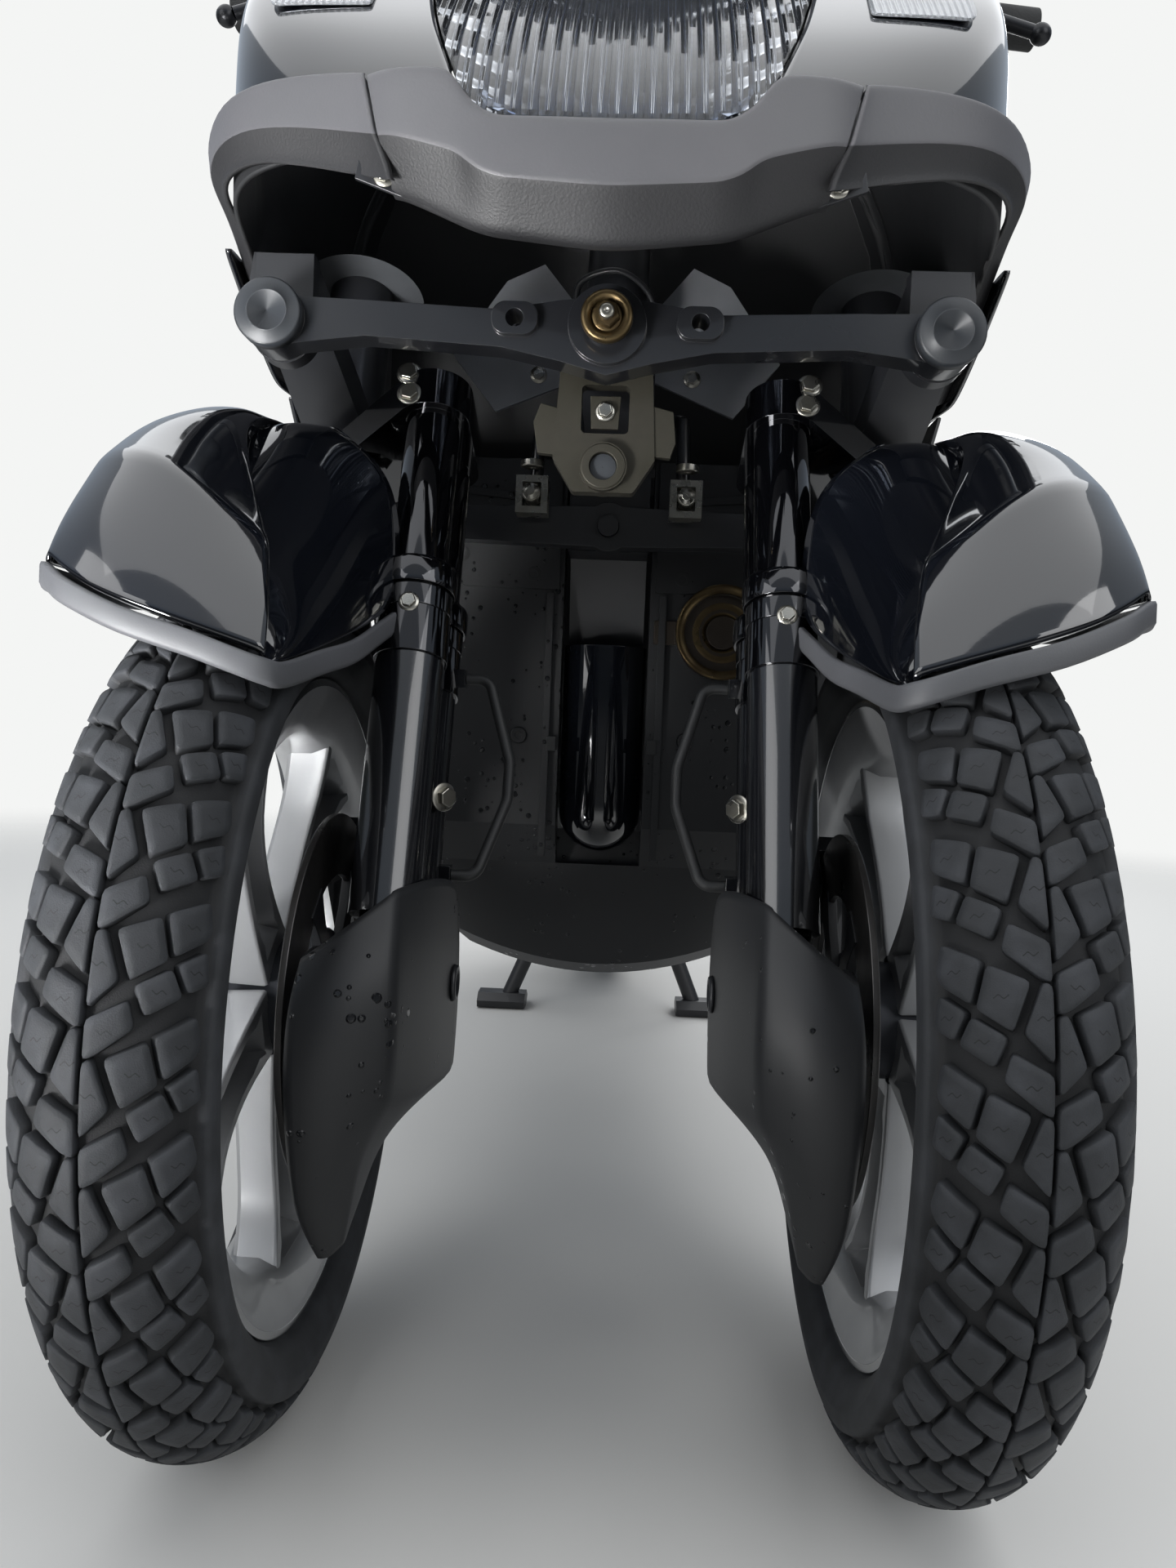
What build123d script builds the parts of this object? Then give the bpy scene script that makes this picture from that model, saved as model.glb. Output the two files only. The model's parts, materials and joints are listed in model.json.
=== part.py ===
from build123d import *
import math
import os

# A leaning three-wheeled scooter with two front wheels, parked on its centre stand.
# All sizes are in millimetres. Places are drawn from the ground under the front axle:
# x to the vehicle's left, y to its rear, z up. Each piece is moved at the end, so that
# the written model has its origin at the middle of its footprint.

# Overall sizes
WHEELBASE = 1310.0
REAR_REACH = 345.0
HALF_TRACK = 192.5
CASTER = 20.0
TRAIL = 68.0
REAR_LIFT = 13.0

# Wheels and tyres
FRONT_TYRE_R = 250.0
FRONT_TYRE_W = 90.0
FRONT_BEAD_R = 177.8
REAR_TYRE_R = 251.5
REAR_TYRE_W = 110.0
REAR_BEAD_R = 152.4
RIM_LIP = 13.0
SPOKES = 5
AXLE_R = 10.0
FRONT_DISC_R = 110.0
REAR_DISC_R = 115.0
DISC_T = 4.0
DISC_INSET = 37.5

# Fits
RUN_FIT = 0.05
SEAT_GAP = 0.3
MOVE_GAP = 6.0

# Leaning linkage
ARM_HALF = 190.0
ARM_Z = 643.0
ARM_Y = -12.0
ARM_T = 20.0
LOWER_ARM_Z = 575.0
LOWER_ARM_Y = 220.0
PIN_R = 8.0
BOSS_R = 19.0
CAP_R = 18.5
CAP_LENGTH = 10.0

# Forks
LEG_X = 111.0
LEG_AHEAD = 91.0
LEG_SPACING = 56.0
LEG_R = 17.5
STEM_R = 13.0
CROWN_T = 25.0
CROWN_DROP = 45.0
FENDER_WALL_X = 138.0
CALIPER_X = 134.0
CALIPER_W = 37.0
CALIPER_TURN = -53.7
PAD_GAP = 1.5
CLIP_X = 84.0
LEAD_R = 3.5

# Bodywork
SKIN = 4.0
TUBE_COVER_R = 36.0

# Seat hinge
SEAT_HINGE_Y = WHEELBASE - 610.0
SEAT_HINGE_Z = 730.0
HINGE_PIN_R = 5.0

# Handlebar
BAR_R = 11.0
GRIP_R = 16.5
GRIP_LENGTH = 125.0
BAR_Z = 1035.0
BAR_FOOT_Y = 215.0
BAR_FOOT_Z = 700.0

# Number plate bolts
PLATE_X = 150.0
PLATE_Z = 100.0
PLATE_HOLE_R = 3.25

# Stands
STAND_Y = WHEELBASE - 264.0
STAND_Z = 190.0
STAND_FOOT_X = 140.0
SIDE_STAND_X = 132.0
SIDE_STAND_Y = WHEELBASE - 520.0
SIDE_STAND_Z = 215.0
SIDE_PIN_R = 6.0
SIDE_BOSS_T = 16.0

# Rear dampers, at their upper eyes
SHOCK_Y = WHEELBASE - 4.0
SHOCK_Z = 670.0
SHOCK_PIN_R = 9.0

# Rear dampers, at their lower eyes
SHOCK_LOW_Y = WHEELBASE + 30.0
SHOCK_LOW_Z = 345.0
SHOCK_X = 104.0

rake = math.radians(CASTER)
RAKE_DIR = Vector(0, math.sin(rake), math.cos(rake))
TAIL_Y = WHEELBASE + REAR_REACH
FRONT_AXLE_Y = (FRONT_TYRE_R - TAIL_Y) / 2
REAR_AXLE_Z = REAR_TYRE_R + REAR_LIFT


def counter_clockwise(points):
    area = 0.0
    for (ax, ay), (bx, by) in zip(points, points[1:] + points[:1]):
        area += ax * by - bx * ay
    return points if area > 0 else points[::-1]


def outline(points, soft=0.0):
    """A flat face through the points, with its corners rounded by soft."""
    face = Polygon(*counter_clockwise(list(points)), align=None)
    return fillet(face.vertices(), soft) if soft else face


def side_solid(points, x0, x1, soft=0.0):
    """A side view of (y, z) points, pulled across the vehicle."""
    return extrude(Plane.YZ.offset(x0) * outline(points, soft), x1 - x0)


def front_solid(points, y0, y1, soft=0.0):
    """A front view of (x, z) points, pulled along the vehicle."""
    return extrude(Plane.XZ.offset(-y0) * outline(points, soft), y0 - y1)


def plan_solid(points, z0, z1, soft=0.0):
    """A plan view of (x, y) points, pulled upward."""
    return extrude(Plane.XY.offset(z0) * outline(points, soft), z1 - z0)


def both_ways(points):
    """One half of a symmetric outline, closed by its mirror image."""
    return list(points) + [(-x, v) for x, v in reversed(points) if x > 0]


def rod(start, end, radius):
    start, end = Vector(*start), Vector(*end)
    plane = Plane(origin=start, z_dir=end - start)
    return extrude(plane * Circle(radius), (end - start).length)


def pipe(points, radius, bend):
    path = FilletPolyline(*points, radius=bend)
    plane = Plane(origin=path @ 0, z_dir=path % 0)
    return sweep(plane * Circle(radius), path=path)


def block(x0, x1, y0, y1, z0, z1):
    box = Box(x1 - x0, y1 - y0, z1 - z0)
    return Pos((x0 + x1) / 2, (y0 + y1) / 2, (z0 + z1) / 2) * box


def other_side(shape):
    return mirror(shape, Plane.YZ)


def aft(distance):
    """The station this far behind the rear axle, or ahead of it when negative."""
    return WHEELBASE + distance


def steer_y(z):
    return -TRAIL + math.tan(rake) * z


def head_plane(side, rise):
    """The plane square to a fork's steering axis, rise above the axis point at the upper arm."""
    point = Vector(side * HALF_TRACK, steer_y(ARM_Z), ARM_Z) + RAKE_DIR * rise
    return Plane(origin=point, x_dir=(1, 0, 0), z_dir=RAKE_DIR)


def write(name, *shapes):
    solids = [solid for shape in shapes for solid in shape.solids()]
    whole = solids[0] if len(solids) == 1 else Compound(solids)
    export_step(whole.moved(Location((0, FRONT_AXLE_Y, 0))), f"parts/{name}.step")


os.makedirs("parts", exist_ok=True)


# Wheels: a cast rim with a hub and five hollow-backed spokes, a tyre and a brake disc.
# In the wheel's own frame x runs outward from the wheel's middle plane.
def tyre_ring(radius, width, bead):
    half = width / 2
    lip = bead + RIM_LIP
    seat = width * 0.3
    shoulder = radius - width * 0.39
    profile = Wire([
        Line((-seat, bead), (seat, bead)),
        Line((seat, bead), (seat, lip - 6)),
        Line((seat, lip - 6), (seat + 2.4, lip + 0.5)),
        Line((seat + 2.4, lip + 0.5), (seat + 6, lip + 1.5)),
        Line((seat + 6, lip + 1.5), (half, shoulder)),
        ThreePointArc((half, shoulder), (0, radius), (-half, shoulder)),
        Line((-half, shoulder), (-seat - 6, lip + 1.5)),
        Line((-seat - 6, lip + 1.5), (-seat - 2.4, lip + 0.5)),
        Line((-seat - 2.4, lip + 0.5), (-seat, lip - 6)),
        Line((-seat, lip - 6), (-seat, bead)),
    ])
    return revolve(make_face(profile), Axis.X)


def cast_wheel(width, bead, hub_in, hub_out, hub_r):
    seat = width * 0.3
    lip = bead + RIM_LIP
    half = [
        (seat + 5.5, lip), (seat + 3.0, lip), (seat + SEAT_GAP, lip - 6), (seat + SEAT_GAP, bead),
        (seat * 0.55, bead), (seat * 0.42, bead - 15), (0, bead - 15),
    ]
    inner = [(0, bead - 24), (seat * 0.5, bead - 23), (seat + 2, bead - 6), (seat + 5.5, bead + 8)]
    ring = half + [(-x, r) for x, r in reversed(half[:-1])]
    ring += [(-x, r) for x, r in reversed(inner[1:])] + inner
    wheel = revolve(outline(ring), Axis.X)
    wheel += Pos((hub_out - hub_in) / 2, 0, 0) * Rot(0, 90, 0) * Cylinder(hub_r, hub_in + hub_out)
    reach = bead - 18
    spoke = outline([(-24, 20), (24, 20), (21, reach * 0.55), (33, reach), (-33, reach),
                     (-21, reach * 0.55)])
    pocket = outline([(-15, 48), (15, 48), (13, reach * 0.55), (22, reach - 6), (-22, reach - 6),
                      (-13, reach * 0.55)], 9)
    web = extrude(Plane.YZ.offset(-13) * spoke, 26) - extrude(Plane.YZ.offset(-13) * pocket, 15)
    for turn in range(SPOKES):
        wheel += Rot(turn * 360 / SPOKES, 0, 0) * web
    bore = Pos((hub_out - hub_in) / 2, 0, 0) * Rot(0, 90, 0) * Cylinder(AXLE_R + RUN_FIT, 400)
    return wheel - bore


def brake_disc(radius, inset):
    ring = Circle(radius) - Circle(AXLE_R + 8)
    window = [(16, radius * 0.42), (11, radius * 0.68), (-11, radius * 0.68), (-16, radius * 0.42)]
    for turn in range(SPOKES):
        ring -= Rot(0, 0, turn * 360 / SPOKES) * outline(window, 5)
    return Plane.YZ.offset(-inset) * extrude(ring, -DISC_T)


front_rim = cast_wheel(FRONT_TYRE_W, FRONT_BEAD_R, DISC_INSET, 24.0, 40.0)
front_tyre = tyre_ring(FRONT_TYRE_R, FRONT_TYRE_W, FRONT_BEAD_R)
front_disc = brake_disc(FRONT_DISC_R, DISC_INSET)
for side, word in [(1, "left"), (-1, "right")]:
    place = Pos(side * HALF_TRACK, 0, FRONT_TYRE_R)
    for node, piece in [("rim", front_rim), ("tyre", front_tyre), ("disc", front_disc)]:
        write(f"front_{node}_{word}", place * (piece if side > 0 else other_side(piece)))

rear_place = Pos(0, WHEELBASE, REAR_AXLE_Z)
write("rear_rim", rear_place * cast_wheel(REAR_TYRE_W, REAR_BEAD_R, 62.0, 44.0, 44.0))
write("rear_tyre", rear_place * tyre_ring(REAR_TYRE_R, REAR_TYRE_W, REAR_BEAD_R))
write("rear_disc", rear_place * brake_disc(REAR_DISC_R, 62.0))

# Leaning linkage: two level arms on centre pins, and a side member at each end that
# carries a steering head. The side members stay upright as the arms swing.
arm_front = ARM_Y - ARM_T
half_arm = [
    (0, -27), (26, -20), (60, -13), (137, -9), (ARM_HALF - 14, -14), (ARM_HALF, -18),
    (ARM_HALF, 18), (ARM_HALF - 14, 12), (137, 11), (62, 8), (26, 14), (0, 17),
]
upper = front_solid([(x, ARM_Z + z) for x, z in both_ways(half_arm)], arm_front, ARM_Y)
upper += rod((0, arm_front - 5, ARM_Z), (0, ARM_Y, ARM_Z), BOSS_R + 3)
lug = [(-13, -9), (13, -9), (13, 9), (-13, 9)]
for side in (1, -1):
    end = (side * ARM_HALF, ARM_Z)
    upper += rod((end[0], arm_front - CAP_LENGTH, ARM_Z), (end[0], ARM_Y, ARM_Z), CAP_R)
    upper += front_solid([(side * 52 + x, ARM_Z + 2 + z) for x, z in lug], arm_front - 5, ARM_Y, 8)
    upper -= rod((end[0], arm_front + 4, ARM_Z), (end[0], ARM_Y + 1, ARM_Z), PIN_R + RUN_FIT)
    upper -= rod((side * 52, arm_front - 6, ARM_Z + 2), (side * 52, ARM_Y + 1, ARM_Z + 2), 5)
upper -= rod((0, arm_front - 6, ARM_Z), (0, ARM_Y + 1, ARM_Z), PIN_R + RUN_FIT)
write("upper_arm", upper)

lower_back = LOWER_ARM_Y + ARM_T
lower_half = [(0, -16), (ARM_HALF, -11), (ARM_HALF, 11), (0, 16)]
lower = front_solid([(x, LOWER_ARM_Z + z) for x, z in both_ways(lower_half)], LOWER_ARM_Y, lower_back)
for x in (-ARM_HALF, 0, ARM_HALF):
    lower += rod((x, LOWER_ARM_Y, LOWER_ARM_Z), (x, lower_back, LOWER_ARM_Z), BOSS_R)
for x in (-ARM_HALF, 0, ARM_HALF):
    lower -= rod((x, LOWER_ARM_Y - 1, LOWER_ARM_Z), (x, lower_back + 1, LOWER_ARM_Z), PIN_R + RUN_FIT)
write("lower_arm", lower)

# Steering head rises, measured along the steering axis from the upper arm's height
crown_top = -CROWN_DROP
bridge_low = crown_top + MOVE_GAP + 1
bridge_t = 24.0
head_top = 100.0
boss_y0 = ARM_Y + 2
boss_y1 = boss_y0 + 13
lug_y0 = lower_back + 3
lug_y1 = lug_y0 + 14


def side_member():
    plane = head_plane(1, bridge_low)
    ahead = (steer_y(ARM_Z) - boss_y0) / math.cos(rake) - 12
    bridge = extrude(plane * outline([(-18, -ahead), (18, -ahead), (22, 0), (-22, 0)]), bridge_t)
    bridge += extrude(plane * Circle(24), head_top - bridge_low)
    bridge &= block(150, 240, boss_y0, 400, 500, 900)
    pivot = rod((ARM_HALF, boss_y0, ARM_Z), (ARM_HALF, boss_y1, ARM_Z), BOSS_R)
    pivot += block(ARM_HALF - 17, ARM_HALF + 17, boss_y0, boss_y1, ARM_Z, ARM_Z + 44)
    web = side_solid([(185, 665), (205, 728), (lug_y1, 728), (lug_y1, LOWER_ARM_Z),
                      (lug_y0, LOWER_ARM_Z), (lug_y0, 665)], ARM_HALF - 9, ARM_HALF + 9)
    web += rod((ARM_HALF, lug_y0, LOWER_ARM_Z), (ARM_HALF, lug_y1, LOWER_ARM_Z), BOSS_R - 2)
    cone = head_plane(1, head_top + 8) * Cone(46, 26, 16)
    member = bridge + pivot + web + cone
    member -= extrude(plane * Circle(STEM_R + RUN_FIT), head_top - bridge_low - 20)
    member += rod((ARM_HALF, arm_front + 6, ARM_Z), (ARM_HALF, boss_y0 + 1, ARM_Z), PIN_R)
    member += rod((ARM_HALF, LOWER_ARM_Y - 4, LOWER_ARM_Z), (ARM_HALF, lug_y0 + 1, LOWER_ARM_Z), PIN_R)
    return member


member = side_member()
write("side_member_left", member)
write("side_member_right", other_side(member))


# Fork: a crown on the steering stem, two legs side by side on the inner side of the wheel,
# a lower casting that carries the wheel's stub axle, and a brake caliper.
def fork():
    inset = LEG_X - HALF_TRACK
    disc_x = HALF_TRACK - DISC_INSET - DISC_T
    spots = [(inset, -LEG_AHEAD), (inset, LEG_SPACING - LEG_AHEAD)]
    crown = head_plane(1, crown_top - CROWN_T)
    discs = [Pos(x, y) * Circle(LEG_R + 5.5) for x, y in spots] + [Circle(22)]
    edges = ShapeList([edge for disc in discs for edge in disc.edges()])
    body = extrude(crown * make_hull(edges), CROWN_T)
    body += extrude(head_plane(1, crown_top) * Circle(STEM_R), head_top - crown_top - 30)
    for x, y in spots:
        spot = Pos(x, y)
        body += extrude(head_plane(1, crown_top - 130) * (spot * Circle(LEG_R)), 130)
        body += extrude(head_plane(1, crown_top - 146) * (spot * Circle(LEG_R + 5)), 16)
        body += extrude(head_plane(1, crown_top - 345) * (spot * Circle(LEG_R + 3)), 200)
    web = outline([(inset - 12, -LEG_AHEAD), (inset + 12, -LEG_AHEAD),
                   (inset + 12, LEG_SPACING - LEG_AHEAD), (inset - 12, LEG_SPACING - LEG_AHEAD)])
    body += extrude(head_plane(1, crown_top - 345) * web, 170)
    foot = side_solid([(-72, 300), (-20, 322), (24, 262), (20, 230), (-10, 226), (-76, 262)], LEG_X - 14,
                      LEG_X + 14)
    body += foot
    body += rod((LEG_X + 10, -60, 280), (142 - SEAT_GAP, -60, 280), 6)
    body += block(LEG_X + 14, FENDER_WALL_X - SEAT_GAP, 6, 26, 496, 520)
    body += block(LEG_X + 14, FENDER_WALL_X - SEAT_GAP, 74, 96, 508, 532)
    bracket = [(-5, 240), (-5, 285), (30, 300), (70, 350), (112, 318), (104, 285), (60, 240)]
    body += side_solid(bracket, LEG_X + 2, CALIPER_X + 2)
    caliper = block(CALIPER_X, CALIPER_X + CALIPER_W, -32, 32, FRONT_DISC_R - 30, FRONT_DISC_R + 18)
    caliper -= block(disc_x - PAD_GAP, disc_x + DISC_T + PAD_GAP, -40, 40, FRONT_DISC_R - 40,
                     FRONT_DISC_R + 4)
    body += Pos(0, 0, FRONT_TYRE_R) * Rot(CALIPER_TURN, 0, 0) * caliper
    for y, z in [(54, 446), (14, 324)]:
        body += block(CLIP_X, LEG_X - 10, y - 6, y + 6, z - 6, z + 6)
    body += rod((LEG_X, 0, FRONT_TYRE_R), (HALF_TRACK - DISC_INSET - DISC_T - 6, 0, FRONT_TYRE_R), 24)
    body += rod((LEG_X, 0, FRONT_TYRE_R), (HALF_TRACK + 30, 0, FRONT_TYRE_R), AXLE_R)
    body += rod((HALF_TRACK + 24 + SEAT_GAP * 2, 0, FRONT_TYRE_R), (HALF_TRACK + 36, 0, FRONT_TYRE_R), 17)
    return body


fork_body = fork()
write("fork_left", fork_body)
write("fork_right", other_side(fork_body))

# Wheel speed lead: it bows inward from a clip high on the rear leg to one above the axle.
lead_path = [(CLIP_X - SEAT_GAP, 54, 446), (69, 54, 446), (53, 41, 394), (53, 35, 370), (69, 14, 324),
             (CLIP_X - SEAT_GAP, 14, 324)]
lead = pipe(lead_path, LEAD_R, [9, 20, 20, 9])
write("lead_left", lead)
write("lead_right", other_side(lead))


# Front fender: a deep arch over the tyre, with a trim band along its lower edge.
def fender():
    front = [(138, 425), (268, 478), (262, 505), (240, 568), (218, 600), (196, 607), (152, 600), (141, 560),
             (138, 500)]
    face_in = [(142, 420), (264, 470), (258, 503), (236, 565), (216, 596), (196, 603), (155, 596),
               (145, 558), (142, 500)]
    side = [(-170, 428), (-152, 500), (-105, 563), (-50, 591), (0, 606), (60, 600), (110, 575), (148, 530),
            (158, 490),
            (120, 486), (0, 474), (-100, 450)]
    side_in = [(-190, 405), (-155, 484), (-104, 557), (-49, 586), (0, 602), (60, 595), (108, 570),
               (144, 527), (165, 480),
               (175, 415)]
    scoop = [(100, -200), (142, -200), (150, -158), (160, -124), (172, -102), (190, -66), (209, -20),
             (214, 12), (100, 12)]
    scoop_in = [(90, -210), (148, -210), (155, -158), (165, -122), (177, -99), (195, -63), (214, -17),
                (219, 17), (90, 17)]
    slope = Plane(origin=(153, -152, 447), z_dir=(-0.388, -0.571, 0.723))
    above = extrude(slope * Rectangle(700, 700), 400)
    above_in = extrude(slope.offset(-SKIN - 1) * Rectangle(700, 700), 400)
    outer = front_solid(front, -175, 165) & side_solid(side, 120, 280)
    outer -= plan_solid(scoop, 430, 640) & above
    inner = front_solid(face_in, -195, 175) & side_solid(side_in, 110, 290)
    inner -= plan_solid(scoop_in, 400, 650) & above_in
    shell = outer - inner
    low = side_solid([(-200, 440), (-100, 470), (0, 494), (120, 506), (200, 514), (200, 400), (-200, 400)],
                     100, 300)
    return shell - low, shell & low


def leg_cover():
    side = [(-60, 325), (-20, 330), (10, 300), (14, 190), (-5, 130), (-36, 108), (-70, 122), (-105, 160),
            (-130, 210),
            (-132, 262), (-112, 292)]
    front = [(76, 300), (100, 330), (128, 322), (145, 292), (145, 108), (120, 130), (100, 176), (76, 190)]
    plan = [(76, 30), (76, -40), (98, -112), (116, -134), (145, -134), (145, 30)]
    skin = 3.0
    side_in = [(-62, 340), (-20, 340), (30, 300), (30, 190), (0, 133), (-36, 112), (-68, 126), (-101, 163),
               (-126, 212), (-128, 261), (-109, 289)]
    front_in = [(79, 340), (142, 340), (142, 112), (122, 133), (102, 178), (79, 193)]
    plan_in = [(79, 40), (79, -39), (101, -110), (118, -130), (142, -130), (142, 40)]
    outer = side_solid(side, 60, 160) & front_solid(front, -200, 50) & plan_solid(plan, 80, 350)
    inner = side_solid(side_in, 50, 170) & front_solid(front_in, -210, 60) & plan_solid(plan_in, 70, 360)
    window = rod((130, 0, FRONT_TYRE_R), (170, 0, FRONT_TYRE_R), 30) + block(130, 170, 0, 60, 220, 280)
    return outer - inner - window


shell, band = fender()
cover = leg_cover()
for side, word in [(1, "left"), (-1, "right")]:
    for node, piece in [("fender", shell), ("fender_trim", band), ("leg_cover", cover)]:
        write(f"{node}_{word}", piece if side > 0 else other_side(piece))

# Frame: a front column with the linkage's centre pins, a down tube and twin floor tubes
# that rise to the seat rails.
column_y = 250.0
frame = side_solid([(column_y, 560), (column_y, 700), (column_y + 18, 760), (column_y + 70, 760),
                    (column_y + 75, 560), (column_y + 108, 470), (column_y + 78, 470),
                    (column_y + 45, 560)], -32, 32)
frame += side_solid([(-4, ARM_Z - 14), (-4, ARM_Z + 14), (column_y + 5, ARM_Z + 32),
                     (column_y + 5, ARM_Z - 26)], -17, 17)
frame += rod((0, arm_front - 16, ARM_Z), (0, 0, ARM_Z), PIN_R)
frame += rod((0, arm_front - 12, ARM_Z), (0, arm_front - 5 - SEAT_GAP, ARM_Z), 12)
frame += rod((0, LOWER_ARM_Y - 6, LOWER_ARM_Z), (0, column_y + 4, LOWER_ARM_Z), PIN_R)
sheet = [(28, 700), (52, 690), (96, 672), (132, 716), (90, 776), (60, 790), (28, 752)]
for side in (1, -1):
    frame += front_solid([(side * x, z) for x, z in sheet], 262, 266)
head_low = Vector(0, BAR_FOOT_Y, BAR_FOOT_Z) + RAKE_DIR * 20
head_high = Vector(0, BAR_FOOT_Y, BAR_FOOT_Z) + RAKE_DIR * 190
frame += side_solid([(head_low.Y, head_low.Z), (column_y + 60, 700), (column_y + 60, 760),
                     (head_high.Y, head_high.Z - 20)], -12, 12)
frame += rod(tuple(head_low), tuple(head_high), 24)
frame -= rod(tuple(head_low + RAKE_DIR * 15), tuple(head_high + RAKE_DIR * 5), STEM_R + RUN_FIT)
for side in (1, -1):
    frame += pipe([(side * 16, column_y + 92, 500), (side * 40, 374, 420), (side * 90, 425, 272),
                   (side * 95, aft(-550), 262), (side * 100, aft(-410), 400), (side * 105, aft(-250), 640),
                   (side * 105, aft(110), 729)], 14, 45)
frame += rod((-105, aft(-260), 625), (105, aft(-260), 625), 12)
frame += rod((-160, aft(-160), 662), (160, aft(-160), 662), 10)
pad = plan_solid([(150, aft(-210)), (166.6, aft(-210)), (164.7, aft(-162)), (150, aft(-162))], 650, 674)
frame += pad + other_side(pad)
side_pivot = Plane(origin=(SIDE_STAND_X, SIDE_STAND_Y, SIDE_STAND_Z), x_dir=(0, 1, 0),
                   z_dir=(0.94, 0, 0.342))
ear = outline([(-32, 52), (10, 88), (16, 0), (0, -13), (-14, -3)])
frame += extrude(side_pivot.offset(-14) * ear, 14 - SIDE_BOSS_T / 2 - SEAT_GAP)
frame += extrude(side_pivot.offset(-14) * Circle(SIDE_PIN_R), 28)
frame += block(-80, 80, 318 + SEAT_GAP, 326, 600, 620) + block(-95, 95, 560, 590, 230 + SEAT_GAP, 262)
frame += rod((-241.5, 300, 742), (241.5, 300, 742), 9)
for side, inner in [(1, 68.0), (-1, 84.0)]:
    frame += rod((side * 99, aft(-430), 380), (side * (inner + SEAT_GAP), aft(-430), 380), 12)
    frame += rod((side * 95, 600, 262), (side * 95, 600, 340 - SEAT_GAP), 12)
    frame += rod((side * (SHOCK_X - 12), SHOCK_Y, SHOCK_Z), (side * (SHOCK_X + 14), SHOCK_Y, SHOCK_Z),
                 SHOCK_PIN_R)
    cheek = side_solid([(SHOCK_Y - 16, SHOCK_Z - 12), (SHOCK_Y + 16, SHOCK_Z - 12),
                        (SHOCK_Y + 16, SHOCK_Z + 34),
                        (SHOCK_Y - 16, SHOCK_Z + 34)], SHOCK_X + 11, SHOCK_X + 16)
    frame += cheek if side > 0 else other_side(cheek)
write("frame", frame)

# Linkage plate: a cast plate under the front pivot with a window and a ringed boss, and the
# steering rods' yokes on both sides of the column.
plate = front_solid([(-27, 628), (27, 628), (30, 575), (18, 556), (-18, 556), (-30, 575)], -6, 6, 3)
plate -= front_solid([(-14, 618), (14, 618), (14, 590), (-14, 590)], -8, 8, 3)
plate += rod((0, -12, 570), (0, 8, 570), 14)
plate = plate - rod((0, -13, 570), (0, 9, 570), 8)
links = [plate]
for side in (1, -1):
    yoke = block(46, 70, 188, 210, 578, 606) - block(51, 65, 184, 206, 583, 601)
    yoke += rod((58, 200, 592), (58, 180, 592), 6.7)
    yoke += rod((56, 200, 600), (54, 204, 654), 5)
    yoke += rod((54, 204, 652), (30.5, column_y - 2.7, 667), 5)
    links.append(yoke if side > 0 else other_side(yoke))
write("tilt_linkage", *links)

# Horn: a flat round disc in a rim, on the column's left.
horn = rod((96, 262, 500), (96, 284, 500), 38) - rod((96, 255, 500), (96, 268, 500), 32)
horn += rod((96, 264, 500), (96, 270, 500), 14)
horn += block(40, 96, 284, 288, 490, 510)
write("horn", horn)

# Undercover: the matte panel behind the front wheels that turns under the floor as a belly,
# with the glossy half-round cover of the down tube in its middle.
belly_side = [(288, 640), (288, 335), (316, 300), (334, 245), (356, 205), (392, 190), (aft(-550), 190),
              (aft(-550), 230),
              (400, 226), (372, 250), (352, 300), (318, 345), (318, 640)]
belly_front = both_ways([(0, 186), (118, 190), (150, 222), (168, 300), (190, 400), (200, 645), (0, 645)])
belly = side_solid(belly_side, -210, 210) & front_solid(belly_front, 250, aft(-510))
belly -= block(-TUBE_COVER_R - SEAT_GAP, TUBE_COVER_R + SEAT_GAP, 280, 330, 300, 650)
write("undercover", belly)
tube_cover = rod((0, 318, 488), (0, 318, 312), TUBE_COVER_R) - block(-50, 50, 318, 380, 300, 520)
tube_cover -= rod((0, 318, 510), (0, 318, 322), TUBE_COVER_R - SKIN)
write("down_tube_cover", tube_cover)

# Nose: the hollow cowl round the headlight, the bumper under it and the side panels.
nose_side = [(-104, 700), (-92, 735), (-50, 795), (20, 868), (80, 916), (130, 944), (230, 962),
             (333.7, 939), (333.7, 660),
             (176, 660), (100, 695), (40, 726), (-20, 735), (-60, 735), (-66, 700)]
nose_front = both_ways([(0, 640), (236, 640), (248, 720), (246, 775), (232, 850), (200, 915), (150, 952),
                        (60, 970), (0, 972)])
nose_plan = both_ways([(0, -110), (60, -106), (112, -92), (158, -66), (188, -53), (216, -30), (236, 20),
                       (247, 90), (250, 200), (245, 340), (0, 340)])
nose = side_solid(nose_side, -260, 260) & front_solid(nose_front, -120, 340, 12) & plan_solid(nose_plan,
                                                                                              620, 1020)
cave_side = [(-99, 690), (-87, 733), (-45, 792), (24, 863), (83, 911), (132, 938), (230, 956), (340, 934),
             (340, 600), (-100, 600)]
cave_front = both_ways([(0, 600), (232, 600), (244, 720), (242, 774), (228, 848), (197, 911), (148, 947),
                        (60, 965), (0, 967)])
cave_plan = both_ways([(0, -105), (59, -101), (110, -88), (156, -62), (186, -49), (213, -27), (232, 22),
                       (243, 91), (246, 200), (240, 350), (0, 350)])
cave = side_solid(cave_side, -260, 260) & front_solid(cave_front, -130, 360, 12) & plan_solid(cave_plan,
                                                                                              590, 1020)
lamp = both_ways([(0, 716), (58, 718), (71, 727), (85, 756), (101, 803), (116, 872), (96, 922), (0, 930)])
lamp_hole = front_solid(lamp, -120, 110, 6)
signal = [(140, 826), (196, 818), (200, 846), (176, 884), (142, 892)]
signal_hole = front_solid(signal, -120, 200, 6)
for x0, x1 in [(102, 260), (-260, -102)]:
    nose -= block(x0, x1, -120, -50, 640, 716)
nose = nose - rod((0, 280, 880), (0, 316, 980),
                  30) - cave - lamp_hole - signal_hole - other_side(signal_hole)
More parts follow.
